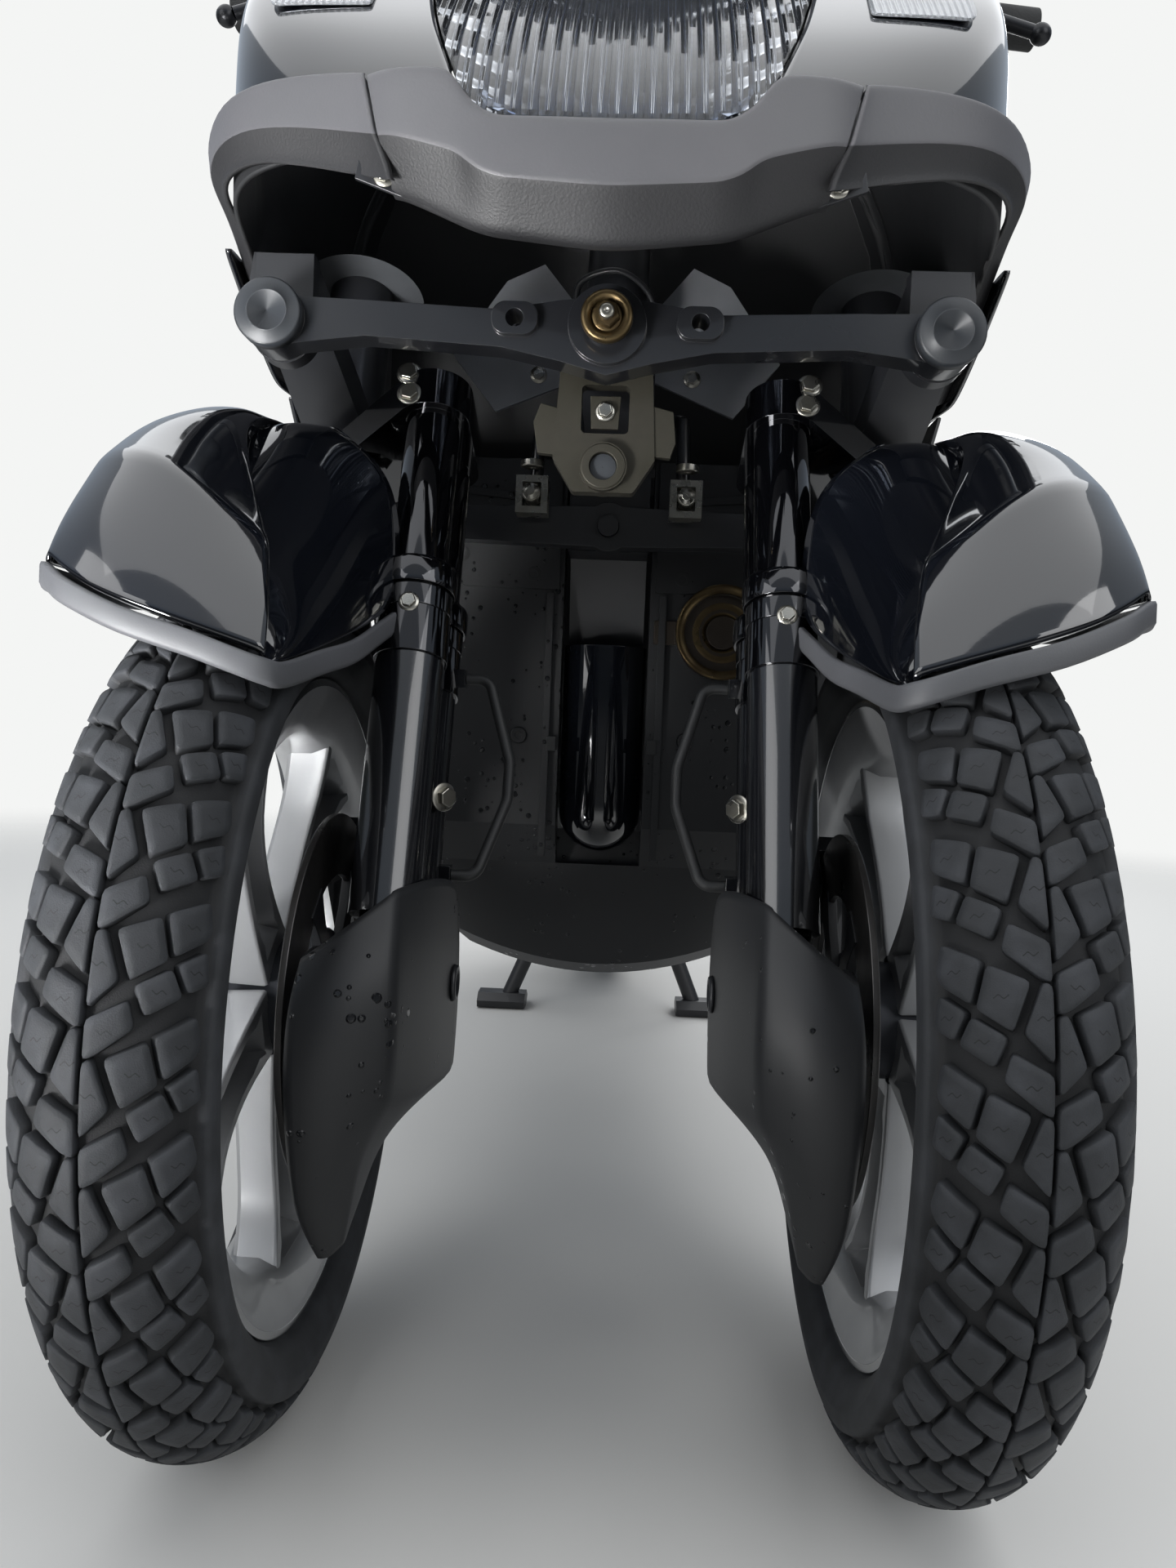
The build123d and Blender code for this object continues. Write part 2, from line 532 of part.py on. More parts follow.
write("nose_cowl", nose)

skin_hull = side_solid(nose_side, -260, 260) & front_solid(nose_front, -120, 340,
                                                           12) & plan_solid(nose_plan, 620, 1020)
lamp_in = both_ways([(0, 716.6), (57.8, 718.6), (70.5, 727.4), (84.4, 756.3), (100.4, 803.1), (115.4, 872),
                     (95.6, 921.4), (0, 929.4)])
glass = (skin_hull & front_solid(lamp_in, -120, 105, 6)) - cave
write("headlight_lens", glass)
bowl = front_solid(both_ways([(0, 727), (54, 729), (66, 735), (80, 760), (95, 804), (109, 870), (90, 914),
                              (0, 921)]), -120, 100, 4)
bowl &= side_solid([(-130, 722), (20, 730), (36, 772), (100, 780), (100, 930), (-130, 930)], -130,
                   130) & cave
hollow = front_solid(both_ways([(0, 731), (52, 733), (63, 738), (76, 762), (91, 806), (105, 869), (87, 910),
                                (0, 917)]), -130, 95, 4)
bowl -= hollow & side_solid([(-140, 726), (18, 734), (33, 776), (95, 784), (95, 940), (-140, 940)], -130,
                            130)
bowl += rod((0, 60, 835), (0, 97, 835), 12)
write("headlight_reflector", bowl)
signal_in = [(140.7, 826.7), (195.3, 818.8), (199.2, 845.8), (175.6, 883.4), (142.7, 891.3)]
signal_lens = (skin_hull & front_solid(signal_in, -120, 200, 6)) - cave
write("front_signals", signal_lens, other_side(signal_lens))

# Bumper: a matte band across the nose in three pieces, the middle one standing proud.
band_out = both_ways([(0, -122), (60, -118), (112, -104), (136, -84), (192, -60), (228, -34), (246, 14),
                      (252, 60), (253.5, 200), (0, 200)])
band_in = both_ways([(0, -117), (59, -113), (110, -99), (133, -79), (189, -55), (223, -31), (241, 16),
                     (247, 60), (250.3, 210), (0, 210)])
hoop = plan_solid(band_out, 640, 800) - plan_solid(band_in, 630, 810)
middle = both_ways([(0, 714), (58, 716), (70, 724), (82, 742), (127, 748), (111, 690), (62, 666), (0, 658)])
wing = [(128.2, 748), (160, 756), (205, 760), (240, 757), (254, 750), (254, 722), (232, 721), (205, 716),
        (150, 706), (112.2, 690)]
bumper = [hoop & front_solid(middle, -130, 60)]
rim_line = [(20, 724), (40, 725), (100, 694), (166, 660.3), (190, 660.3), (196, 676), (112, 722), (46, 757),
            (20, 757)]
rim = side_solid(rim_line, 200, 260) & plan_solid(band_out, 600, 800)
rim &= front_solid([(200, 640), (240, 640), (252, 720), (254, 775), (200, 775)], -120, 340)
rim -= front_solid([(190, 630), (234.8, 630), (236.3, 640), (248.3, 720), (248.3, 780), (190, 780)], -130,
                   350) & plan_solid(band_in, 590, 810)
rim -= skin_hull
for side in (1, -1):
    side_wing = (hoop & front_solid([(side * x, z) for x, z in wing], -130, 46)) - skin_hull
    bumper.append(side_wing + (rim if side > 0 else other_side(rim)))
for x0, x1, y0, z0 in [(150, 176, -72, 744), (98, 110, -106, 736)]:
    tab = block(x0, x1, y0, -20, z0, z0 + 8) - skin_hull
    at = 1 if x0 > 130 else 0
    bumper[at] += tab
    bumper[at + 1 if at else 0] += other_side(tab)
write("bumper", *bumper)

# Windscreen: a small curved sheet on the nose.
screen = plan_solid(both_ways([(0, 96), (90, 106), (150, 140), (150, 290), (0, 290)]), 880, 1140)
screen -= plan_solid(both_ways([(0, 99), (89, 109), (147, 142), (147, 300), (0, 300)]), 870, 1150)
screen &= front_solid(both_ways([(0, 870), (150, 870), (150, 960), (138, 1040), (96, 1110), (0, 1128)]), 0,
                      200, 8)
screen &= side_solid([(90, 870), (90, 1130), (150, 1130), (190, 960), (190, 870)], -200, 200)
write("windscreen", screen - skin_hull)

# Side panels from the nose down to the floor, the knee panel between them and the floor.
side_line = [(246, 659.7), (228, 500), (204, 352), (198, 330)]
skin_line = [(x - SKIN, z) for x, z in reversed(side_line)]
panel = front_solid(side_line + skin_line, 180, 540)
panel &= side_solid([(192, 659.7), (392, 659.7), (412, 520), (436, 380), (520, 374), (500, 335), (420, 330),
                     (330, 460), (262, 560)], 150, 260)
write("side_panels", panel, other_side(panel))

knee = side_solid([(334, 655), (334, 932), (352, 930), (384, 840), (408, 655), (428, 500), (446, 368.3),
                   (438, 368.3),
                   (418, 500), (396, 655)], -250, 250)
knee &= front_solid(both_ways([(0, 340), (199, 345), (222, 500), (240, 650), (241, 780), (226, 850),
                               (196, 908), (140, 932), (0, 934)]), 300, 480)
knee_in = both_ways([(0, 330), (194, 335), (217, 500), (235, 650), (236, 779), (221, 848), (192, 903),
                     (138, 927), (0, 929)])
knee -= side_solid([(330, 640), (330, 925), (346, 925), (379, 838), (400, 660), (392, 640)], -250,
                   250) & front_solid(knee_in, 290, 480)
write("leg_shield", knee)

floor_out = [(0, 368), (196, 368), (206, 348), (176, 236), (172, 236), (200, 340), (0, 340)]
floor = front_solid(both_ways(floor_out), 522.5, aft(-530)) + block(-190, 190, 436, 523, 340, 368)
for row in range(5):
    floor += block(50, 180, 480 + row * 46, 492 + row * 46, 368, 371)
    floor += block(-180, -50, 480 + row * 46, 492 + row * 46, 368, 371)
write("floorboard", floor)

# Seat: one long cushion with a step, hinged at its nose.
seat_side = [(aft(-610), 742), (aft(-618), 768), (aft(-570), 782), (aft(-460), 780), (aft(-330), 782),
             (aft(-274), 796), (aft(-240), 838), (aft(-110), 848),
             (aft(70), 846), (aft(142), 826), (aft(136), 806), (aft(-230), 792), (aft(-274), 752),
             (aft(-550), 738)]
seat_plan = both_ways([(0, aft(-622)), (62, aft(-616)), (112, aft(-550)), (156, aft(-410)),
                       (160, aft(-260)), (148, aft(-60)), (112, aft(100)), (60, aft(145)), (0, aft(148))])
seat = side_solid(seat_side, -170, 170) & plan_solid(seat_plan, 700, 900, 14)
hinge = (SEAT_HINGE_Y, SEAT_HINGE_Z)
seat += block(-33, 33, SEAT_HINGE_Y - 5, SEAT_HINGE_Y + 5, SEAT_HINGE_Z, SEAT_HINGE_Z + 16)
seat += rod((-33, *hinge), (33, *hinge), 8)
seat -= rod((-34, *hinge), (34, *hinge), HINGE_PIN_R + RUN_FIT)
write("seat", seat)

# Tail: hollow side panels under the seat, the tail lamp, a grab rail and the rear fender.
tail_side = [(aft(-598), 372), (aft(-588), 734), (aft(-550), 735), (aft(-274), 748), (aft(-228), 788),
             (aft(136), 802), (aft(190), 828), (aft(278), 800),
             (aft(290), 770), (aft(250), 735), (aft(90), 700), (aft(-130), 640), (aft(-290), 560),
             (aft(-410), 440), (aft(-470), 372)]
tail_cut = [(aft(-592), 360), (aft(-583), 728), (aft(-550), 729), (aft(-272), 742), (aft(-225), 782),
            (aft(136), 796), (aft(190), 821), (aft(250), 803),
            (aft(250), 600), (aft(-410), 300)]
tail_plan = both_ways([(0, aft(-598)), (150, aft(-594)), (172, aft(-510)), (178, aft(-360)),
                       (170, aft(-160)), (140, aft(90)), (100, aft(250)), (0, aft(294))])
tail_in = both_ways([(0, aft(-592)), (146, aft(-588)), (167, aft(-509)), (173, aft(-360)), (165, aft(-161)),
                     (135, aft(88)), (96, aft(245)), (0, aft(288))])
tail = side_solid(tail_side, -200, 200) & plan_solid(tail_plan, 340, 840)
tail -= side_solid(tail_cut, -200, 200) & plan_solid(tail_in, 300, 850)
lamp_box = front_solid(both_ways([(0, 742), (70, 746), (84, 790), (0, 794)]), aft(242), aft(296))
tail += rod((-41, *hinge), (41, *hinge), HINGE_PIN_R)
for x in (-42, 34.3):
    tail += side_solid([(aft(-619), 730), (aft(-615), 738), (aft(-605), 738), (aft(-586), 727),
                        (aft(-586), 700), (aft(-612), 720)], x, x + 7.7)
write("tail_panels", tail - lamp_box)
red = front_solid(both_ways([(0, 743), (69, 747), (82, 789), (0, 793)]), aft(254), aft(293))
write("tail_lamp", red & side_solid([(aft(254), 735), (aft(266), 742), (aft(296), 772), (aft(286), 800),
                                     (aft(254), 812)], -100, 100))
rail = pipe([(172, aft(-140), 800), (176, aft(-20), 838), (158, aft(160), 866), (70, aft(230), 874),
             (-70, aft(230), 874), (-158, aft(160), 866),
             (-176, aft(-20), 838), (-172, aft(-140), 800)], 10, 40)
for side in (1, -1):
    rail += rod((side * 160, aft(-134), 770), (side * 172, aft(-134), 808), 9)
    rail += rod((side * 90, aft(210), 812), (side * 90, aft(218), 868), 9)
write("grab_rail", rail - (side_solid(tail_side, -200, 200) & plan_solid(tail_plan, 340, 840)))
guard = side_solid([(aft(-120), 560), (aft(0), 590), (aft(110), 596), (aft(230), 590), (aft(300), 520),
                    (TAIL_Y, 400), (TAIL_Y - 5, 398),
                    (aft(292), 516), (aft(225), 583), (aft(110), 588), (aft(0), 582), (aft(-116), 552)],
                    -76, 76)
guard += side_solid([(aft(190), 588), (aft(227), 586.5), (aft(246), 568), (aft(250), 580),
                     (aft(250), 734.7), (aft(226), 729.4)], -36, 36)
guard += front_solid([(-92, 470), (92, 470), (92, 600), (-92, 600)], aft(302), aft(307))
for x in (-PLATE_X / 2, PLATE_X / 2):
    for z in (535 - PLATE_Z / 2, 535 + PLATE_Z / 2):
        guard -= rod((x, aft(290), z), (x, aft(320), z), PLATE_HOLE_R)
guard += block(-30, 30, aft(264), aft(304), 536, 552)
write("rear_fender", guard)

# Power unit: one plain block for the engine with the stand's lugs, the drive case on the
# left that carries the rear axle, the air cleaner above it, and the exhaust on the right.
engine = block(-84, 68, aft(-452), aft(-264), 232, 470) + block(-60, 44, aft(-530), aft(-452), 290, 420)
engine += block(-100, 100, aft(-288), aft(-260), 214, 232)
for x in (-100, 88):
    engine += side_solid([(aft(-286), 232), (aft(-258), 232), (aft(-252), 196), (aft(-264), 176),
                          (aft(-276), 196)], x, x + 12)
engine += rod((-100, STAND_Y, STAND_Z), (100, STAND_Y, STAND_Z), PIN_R)
engine += side_solid([(aft(-310), 330), (aft(-310), 400), (aft(-10), 300), (aft(26), 280), (aft(26), 246),
                      (aft(-10), 240)], -92, -80)
engine -= rod((-100, WHEELBASE, REAR_AXLE_Z), (-70, WHEELBASE, REAR_AXLE_Z), AXLE_R + SEAT_GAP)
write("engine", engine)
case = side_solid([(aft(-380), 250), (aft(-380), 390), (aft(-310), 432), (aft(-130), 404), (aft(50), 330),
                   (aft(86), 280), (aft(70), 240), (aft(-10), 233)], 68.3, 146, 16)
case += rod((47, WHEELBASE, REAR_AXLE_Z), (70, WHEELBASE, REAR_AXLE_Z), 26)
case += rod((-112, WHEELBASE, REAR_AXLE_Z), (70, WHEELBASE, REAR_AXLE_Z), AXLE_R)
case += rod((104, aft(30), 320), (104, aft(30), 344.2), 14)
write("drive_case", case)
write("air_cleaner", side_solid([(aft(-220), 418.4), (aft(-210), 560), (aft(-60), 556), (aft(-48), 371),
                                 (aft(-130), 404.4)], 78, 152, 10))
muffler = rod((-166, aft(-200), 268), (-172, aft(180), 300), 48)
muffler += rod((-172, aft(180), 300), (-172.4, aft(202), 302), 30)
muffler += pipe([(-10, aft(-480), 290 - SEAT_GAP), (-10, aft(-480), 226), (-60, aft(-410), 200),
                 (-110, aft(-350), 214), (-166, aft(-200), 262)], 14, 24)
muffler += block(-124, -92.3, aft(-70), aft(-10), 262, 290)
write("exhaust", muffler)
damper_length = math.hypot(SHOCK_Y - SHOCK_LOW_Y, SHOCK_Z - SHOCK_LOW_Z)
damper_line = [(0, 0), (9, 0), (9, 14), (19, 14), (19, 70)]
for turn in range(7):
    at = 72 + turn * 28
    damper_line += [(17.5, at), (26, at + 7), (26, at + 14), (17.5, at + 21)]
damper_line += [(17.5, 270), (9, 270), (9, damper_length), (0, damper_length)]
shocks = []
for side in (1, -1):
    low = Vector(side * SHOCK_X, SHOCK_LOW_Y, SHOCK_LOW_Z)
    high = Vector(side * SHOCK_X, SHOCK_Y, SHOCK_Z)
    upright = Plane(origin=low, x_dir=(1, 0, 0), z_dir=high - low)
    shock = upright * revolve(Plane.XZ * outline(damper_line), Axis.Z)
    shock += rod((side * SHOCK_X - 10, SHOCK_Y, SHOCK_Z), (side * SHOCK_X + 10, SHOCK_Y, SHOCK_Z),
                 SHOCK_PIN_R + 6)
    shock -= rod((side * SHOCK_X - 12, SHOCK_Y, SHOCK_Z), (side * SHOCK_X + 12, SHOCK_Y, SHOCK_Z),
                 SHOCK_PIN_R + SEAT_GAP)
    shocks.append(shock)
shocks[1] += block(-118, -92.3, aft(18), aft(42), 290, 352)
write("rear_shocks", *shocks)

# Stands: the centre stand under the engine, down, and the side stand, folded.
stand = rod((-72, STAND_Y, STAND_Z), (72, STAND_Y, STAND_Z), 14)
for side in (1, -1):
    stand += rod((side * 66, STAND_Y, STAND_Z), (side * STAND_FOOT_X, STAND_Y - 6, 10), 11)
    stand += side_solid([(STAND_Y - 34, 12), (STAND_Y - 30, 2), (STAND_Y - 20, 0), (STAND_Y + 14, 0),
                         (STAND_Y + 30, 10),
                         (STAND_Y + 10, 22), (STAND_Y - 20, 22)], side * 112 if side > 0 else -182,
                         side * 182 if side > 0 else -112)
stand += side_solid([(STAND_Y - 30, 166), (STAND_Y - 24, 160), (STAND_Y + 4, 178), (STAND_Y, 188)], -80, 80)
stand -= rod((-87, STAND_Y, STAND_Z), (87, STAND_Y, STAND_Z), PIN_R + RUN_FIT)
write("centre_stand", stand)
prop = extrude(side_pivot.offset(-SIDE_BOSS_T / 2) * Circle(14), SIDE_BOSS_T)
prop += rod((SIDE_STAND_X, SIDE_STAND_Y, SIDE_STAND_Z), (SIDE_STAND_X + 4, SIDE_STAND_Y + 185,
                                                         SIDE_STAND_Z - 6), 7)
prop -= extrude(side_pivot.offset(-20) * Circle(SIDE_PIN_R + RUN_FIT), 40)
prop += block(SIDE_STAND_X - 16, SIDE_STAND_X + 26, SIDE_STAND_Y + 168, SIDE_STAND_Y + 198,
              SIDE_STAND_Z - 12, SIDE_STAND_Z - 2)
write("side_stand", prop)

# Handlebar: the stem in the head tube, the bar with grips, levers, mirrors and its cover.
axis_low = head_low + RAKE_DIR * 16
bar_at = Vector(0, BAR_FOOT_Y, BAR_FOOT_Z) + RAKE_DIR * ((BAR_Z - BAR_FOOT_Z - 10) / math.cos(rake))
bar = rod(tuple(axis_low), tuple(bar_at), STEM_R)
bar += rod((0, bar_at.Y, BAR_Z - 8), (0, bar_at.Y, 1089.2), 8)
bar += pipe([(345, 352, BAR_Z), (200, 338, BAR_Z + 6), (80, bar_at.Y, BAR_Z - 8),
             (-80, bar_at.Y, BAR_Z - 8),
             (-200, 338, BAR_Z + 6), (-345, 352, BAR_Z)], BAR_R, 40)
write("handlebar", bar)
controls = []
for side in (1, -1):
    ends = [(side * (347 - GRIP_LENGTH), 340, BAR_Z + 5), (side * 347, 352.2, BAR_Z)]
    grip = rod(ends[0], ends[1], GRIP_R) - rod((side * 210, 338.9, BAR_Z + 5.5), ends[1], BAR_R + 0.4)
    lever = pipe([(side * 200, 318, BAR_Z + 2), (side * 214, 296, BAR_Z - 8), (side * 240, 284, BAR_Z - 16),
                  (side * 328, 272, BAR_Z - 50)], 5.5, 12)
    lever += Pos(side * 328, 272, BAR_Z - 50) * Sphere(8.5)
    lever += rod((side * 186, 316, BAR_Z + 2), (side * 208, 318, BAR_Z + 2), 9.75)
    controls += [grip, lever]
write("hand_controls", *controls)
mirrors = []
for side in (1, -1):
    head = front_solid([(side * (302 + x), 1178 + z) for x, z in
                        [(-65, -26), (50, -34), (65.5, -10), (65.5, 20), (40, 37), (-50, 34), (-67, 10)]],
                        318, 342, 10)
    stalk = pipe([(side * 150, 335, BAR_Z + 12.6), (side * 156, 330, 1104), (side * 250, 330, 1150)], 6, 20)
    mirrors.append(head + stalk)
write("mirrors", *mirrors)
hood = side_solid([(268, 990), (256, 1040), (276, 1085), (330, 1098), (388, 1076), (404, 1030), (384, 992)],
                  -168, 168)
hood &= front_solid(both_ways([(0, 985), (100, 988), (160, 1012), (166, 1040), (120, 1086), (0, 1100)]),
                    200, 420, 12)
hollow = side_solid([(272, 980), (260, 1040), (280, 1081), (330, 1094), (385, 1073), (400, 1030),
                     (380, 980)], -163, 163)
hollow &= front_solid(both_ways([(0, 980), (101, 984), (156, 1014), (162, 1040), (118, 1082), (0, 1096)]),
                      190, 430, 10)
ways = [rod((side * 140, 335, BAR_Z + 3), (side * 200, 339, BAR_Z + 6), 20) for side in (1, -1)]
ways += [rod((side * 150, 336, 1036), (side * 156.6, 329, 1110), 11) for side in (1, -1)]
hood = hood - hollow
for way in ways:
    hood -= way
write("handlebar_cover", hood)
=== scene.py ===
import bmesh
import bpy
import json
import math
from contextlib import contextmanager
from mathutils import Matrix, Vector
from mathutils.bvhtree import BVHTree

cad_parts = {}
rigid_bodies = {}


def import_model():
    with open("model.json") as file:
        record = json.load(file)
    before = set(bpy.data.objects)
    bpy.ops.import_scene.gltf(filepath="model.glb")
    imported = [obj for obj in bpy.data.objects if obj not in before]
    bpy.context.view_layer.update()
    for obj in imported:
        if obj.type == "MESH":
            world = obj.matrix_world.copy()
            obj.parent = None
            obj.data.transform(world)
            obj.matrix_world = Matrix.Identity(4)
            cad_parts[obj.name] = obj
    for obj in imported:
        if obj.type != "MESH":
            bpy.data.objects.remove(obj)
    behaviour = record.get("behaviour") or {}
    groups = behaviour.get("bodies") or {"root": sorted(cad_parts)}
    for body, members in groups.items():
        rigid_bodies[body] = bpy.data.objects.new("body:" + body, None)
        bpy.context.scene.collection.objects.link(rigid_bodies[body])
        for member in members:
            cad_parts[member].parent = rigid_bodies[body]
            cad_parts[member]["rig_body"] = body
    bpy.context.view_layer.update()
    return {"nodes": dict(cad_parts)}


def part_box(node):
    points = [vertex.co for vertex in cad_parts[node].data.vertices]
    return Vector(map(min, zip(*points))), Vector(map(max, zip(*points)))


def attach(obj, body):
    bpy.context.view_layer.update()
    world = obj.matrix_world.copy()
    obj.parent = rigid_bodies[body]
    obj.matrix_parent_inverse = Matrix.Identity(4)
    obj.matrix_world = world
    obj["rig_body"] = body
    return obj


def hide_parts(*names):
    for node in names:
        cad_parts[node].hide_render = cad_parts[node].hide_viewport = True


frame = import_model()

# The stage: pale paper that fades out into a plain white backdrop, soft lamps above and in front,
# and a camera low in front of the nose, tilted a little, as someone squatting there holds it.
AXLE_Y = -0.7025  # the front axle's place along the vehicle, whose nose points to -Y
CAMERA_AT = Vector((0.0184, -1.4066, 0.4161))
YAW, PITCH, ROLL = math.radians(-1.63), math.radians(2.6), math.radians(2.26)
FOCAL_PX, PHOTO_TALL_PX = 1442, 1920
SENSOR_MM = 36
BACKDROP, PAPER = "#f4f5f4", "#c9c8c5"
SKY_STRENGTH = 0.62
SKY = [
    # height of the look, colour: pale ground haze, a dark band of far things, then bright cloud
    (0.0, "#6f7275"), (0.03, "#3d4143"), (0.17, "#474c4c"), (0.24, "#a9b2bd"), (0.45, "#c9d6e6"), (0.8, "#eef4fb"),
]
FLOOR_HALF, FLOOR_Z = 5, -0.0005
FADE_FROM, FADE_TO = 1.9, 4.4


def linear(colour):
    """An sRGB hex colour as the linear values that the shaders take."""
    parts = [int(colour[i:i + 2], 16) / 255 for i in (1, 3, 5)]
    return tuple(p / 12.92 if p <= 0.04045 else ((p + 0.055) / 1.055) ** 2.4 for p in parts) + (1.0,)


def add(tree, kind, settings=None, inputs=None):
    """A node with its settings and its input values or links."""
    node = tree.nodes.new(kind)
    for name, value in (settings or {}).items():
        setattr(node, name, value)
    for name, value in (inputs or {}).items():
        if isinstance(value, bpy.types.NodeSocket):
            tree.links.new(value, node.inputs[name])
        else:
            node.inputs[name].default_value = value
    return node


def blank(name):
    """A material with its node tree, its output node and its Object coordinates."""
    material = bpy.data.materials.new(name)
    material.use_nodes = True
    tree = material.node_tree
    tree.nodes.clear()
    out = add(tree, "ShaderNodeOutputMaterial")
    place = add(tree, "ShaderNodeTexCoord").outputs["Object"]
    return material, tree, out, place


def placed(name, data):
    """An object at the origin that holds the data and is in the scene."""
    piece = bpy.data.objects.new(name, data)
    bpy.context.scene.collection.objects.link(piece)
    return piece


def mesh_piece(name, points, faces, material, smooth=True):
    """A mesh object at the origin from metre points and faces."""
    mesh = bpy.data.meshes.new(name)
    mesh.from_pydata(points, [], faces)
    mesh.validate()
    mesh.materials.append(material)
    for face in mesh.polygons:
        face.use_smooth = smooth
    return placed(name, mesh)


ahead = Vector((math.sin(YAW) * math.cos(PITCH), math.cos(YAW) * math.cos(PITCH), -math.sin(PITCH)))
right = Vector((math.cos(YAW), -math.sin(YAW), 0))
up = right.cross(ahead)
tilted_right = right * math.cos(ROLL) + up * math.sin(ROLL)
tilted_up = up * math.cos(ROLL) - right * math.sin(ROLL)
lens = bpy.data.cameras.new("camera")
lens.sensor_width = SENSOR_MM
lens.lens = FOCAL_PX / PHOTO_TALL_PX * SENSOR_MM
lens.clip_start = 0.02
camera = placed("camera", lens)
facing = Matrix((tilted_right, tilted_up, -ahead)).transposed().to_4x4()
camera.matrix_world = Matrix.Translation(CAMERA_AT) @ facing
bpy.context.scene.camera = camera
bpy.context.scene.view_settings.view_transform = "Standard"

world = bpy.data.worlds.new("sky")
world.use_nodes = True
bpy.context.scene.world = world
sky = world.node_tree
sky.nodes.clear()
way = add(sky, "ShaderNodeTexCoord").outputs["Generated"]
height = add(sky, "ShaderNodeSeparateXYZ", inputs={"Vector": way}).outputs["Z"]
band = add(sky, "ShaderNodeValToRGB", inputs={"Fac": height})
stops = band.color_ramp.elements
for place_on, colour in SKY:
    stops.new(place_on).color = linear(colour)
# The two stops that every new ramp has, black at 0 and white at 1, are taken out.
stops.remove(stops[len(stops) - 1])
stops.remove(stops[0])
lit = add(sky, "ShaderNodeBackground", inputs={"Color": band.outputs["Color"], "Strength": SKY_STRENGTH})
seen = add(sky, "ShaderNodeBackground", inputs={"Color": linear(BACKDROP), "Strength": 1.0})
ray = add(sky, "ShaderNodeLightPath").outputs["Is Camera Ray"]
both = add(sky, "ShaderNodeMixShader", inputs={"Fac": ray})
sky.links.new(lit.outputs[0], both.inputs[1])
sky.links.new(seen.outputs[0], both.inputs[2])
add(sky, "ShaderNodeOutputWorld", inputs={"Surface": both.outputs[0]})

LAMPS = [
    # name, place, aim, side of the square in m, power in W, spread in degrees
    ("overhead", (0.0, -0.4, 3.6), (0, -0.4, 0.4), 6.0, 120, 180),
    ("front_left", (2.0, -2.8, 1.7), (0.1, -0.8, 0.4), 2.0, 34, 180),
    ("front_right", (-2.1, -2.6, 1.5), (-0.1, -0.8, 0.4), 2.0, 30, 180),
    ("low_front", (-0.7, -1.45, 0.12), (0, -0.42, 0.74), 0.35, 3.4, 50),
    ("behind", (0.6, 2.6, 2.0), (0, 0.6, 0.6), 1.8, 40, 180),
]
for name, stands, aim, size, power, spread in LAMPS:
    lamp = bpy.data.lights.new(name, "AREA")
    lamp.energy, lamp.size, lamp.spread = power, size, math.radians(spread)
    turn = (Vector(aim) - Vector(stands)).to_track_quat("-Z", "Y").to_matrix().to_4x4()
    placed(name, lamp).matrix_world = Matrix.Translation(Vector(stands)) @ turn

paper, tree, out, place = blank("pale floor")
# Matte paper with no pattern, that fades out into the backdrop between 1.9 and 4.4 m from the middle.
shade = add(tree, "ShaderNodeBsdfPrincipled", inputs={"Base Color": linear(PAPER), "Roughness": 0.85})
gone = add(tree, "ShaderNodeBsdfTransparent")
reach = add(tree, "ShaderNodeVectorMath", {"operation": "LENGTH"}, {0: place})
fade = add(tree, "ShaderNodeMapRange", {"interpolation_type": "SMOOTHSTEP"}, {
    "Value": reach.outputs["Value"], "From Min": FADE_FROM, "From Max": FADE_TO})
blend = add(tree, "ShaderNodeMixShader", inputs={"Fac": fade.outputs[0]})
tree.links.new(shade.outputs[0], blend.inputs[1])
tree.links.new(gone.outputs[0], blend.inputs[2])
tree.links.new(blend.outputs[0], out.inputs["Surface"])
corners = [(x * FLOOR_HALF, y * FLOOR_HALF, FLOOR_Z) for x, y in ((-1, -1), (1, -1), (1, 1), (-1, 1))]
floor = mesh_piece("floor", corners, [(0, 1, 2, 3)], paper, False)

# The tyres: black rubber on a wound carcass, cured in a mould that cuts its tread into slanted
# blocks about a thin centre groove. They are pulled over the rims' flanges and held by air.
TREAD_DEPTH = 0.0052
CROWN_SHARE = 0.39  # how far the crown curves in, as a share of the tyre's width
RIM_LIP = 0.013
BASE_WIDTH = 0.09  # the tyre that the blocks below are drawn for, with a pitch of 51.9 mm
BASE_PITCH = 51.9
TREAD_EDGE = 53.0  # arc length from the middle to the tread's edge, in mm
SEGMENT = 5.5  # the longest stretch of a block's outline, in mm
SIDE_SHIFT = 0.24  # how far the blocks of one half run ahead of the other's, in pitches

rubber, tree, out, place = blank("tyre rubber")
# Cured rubber is dull and near black, greyed in patches by road dust on the block tops, with the grooves
# darkened by painted shade.
grime = add(tree, "ShaderNodeTexNoise", inputs={"Vector": place, "Scale": 55.0, "Detail": 6.0})
grit = add(tree, "ShaderNodeTexNoise", inputs={"Vector": place, "Scale": 1400.0, "Detail": 2.0})
spot = add(tree, "ShaderNodeAttribute", {"attribute_name": "spot"})
parts = add(tree, "ShaderNodeSeparateXYZ", inputs={"Vector": spot.outputs["Vector"]})
worn = add(tree, "ShaderNodeMapRange", inputs={"Value": grime.outputs["Fac"], "From Min": 0.42, "From Max": 0.72})
dusty = add(tree, "ShaderNodeMix", {"data_type": "RGBA"}, {
    "Factor": worn.outputs[0], "A": linear("#222427"), "B": linear("#303236")})
# Painted shade: the grooves' floor and the blocks' sides are darkened toward near black.
groove_shade = add(tree, "ShaderNodeMix", {"data_type": "RGBA"}, {
    "Factor": parts.outputs["Z"], "A": linear("#121315"), "B": dusty.outputs["Result"]})
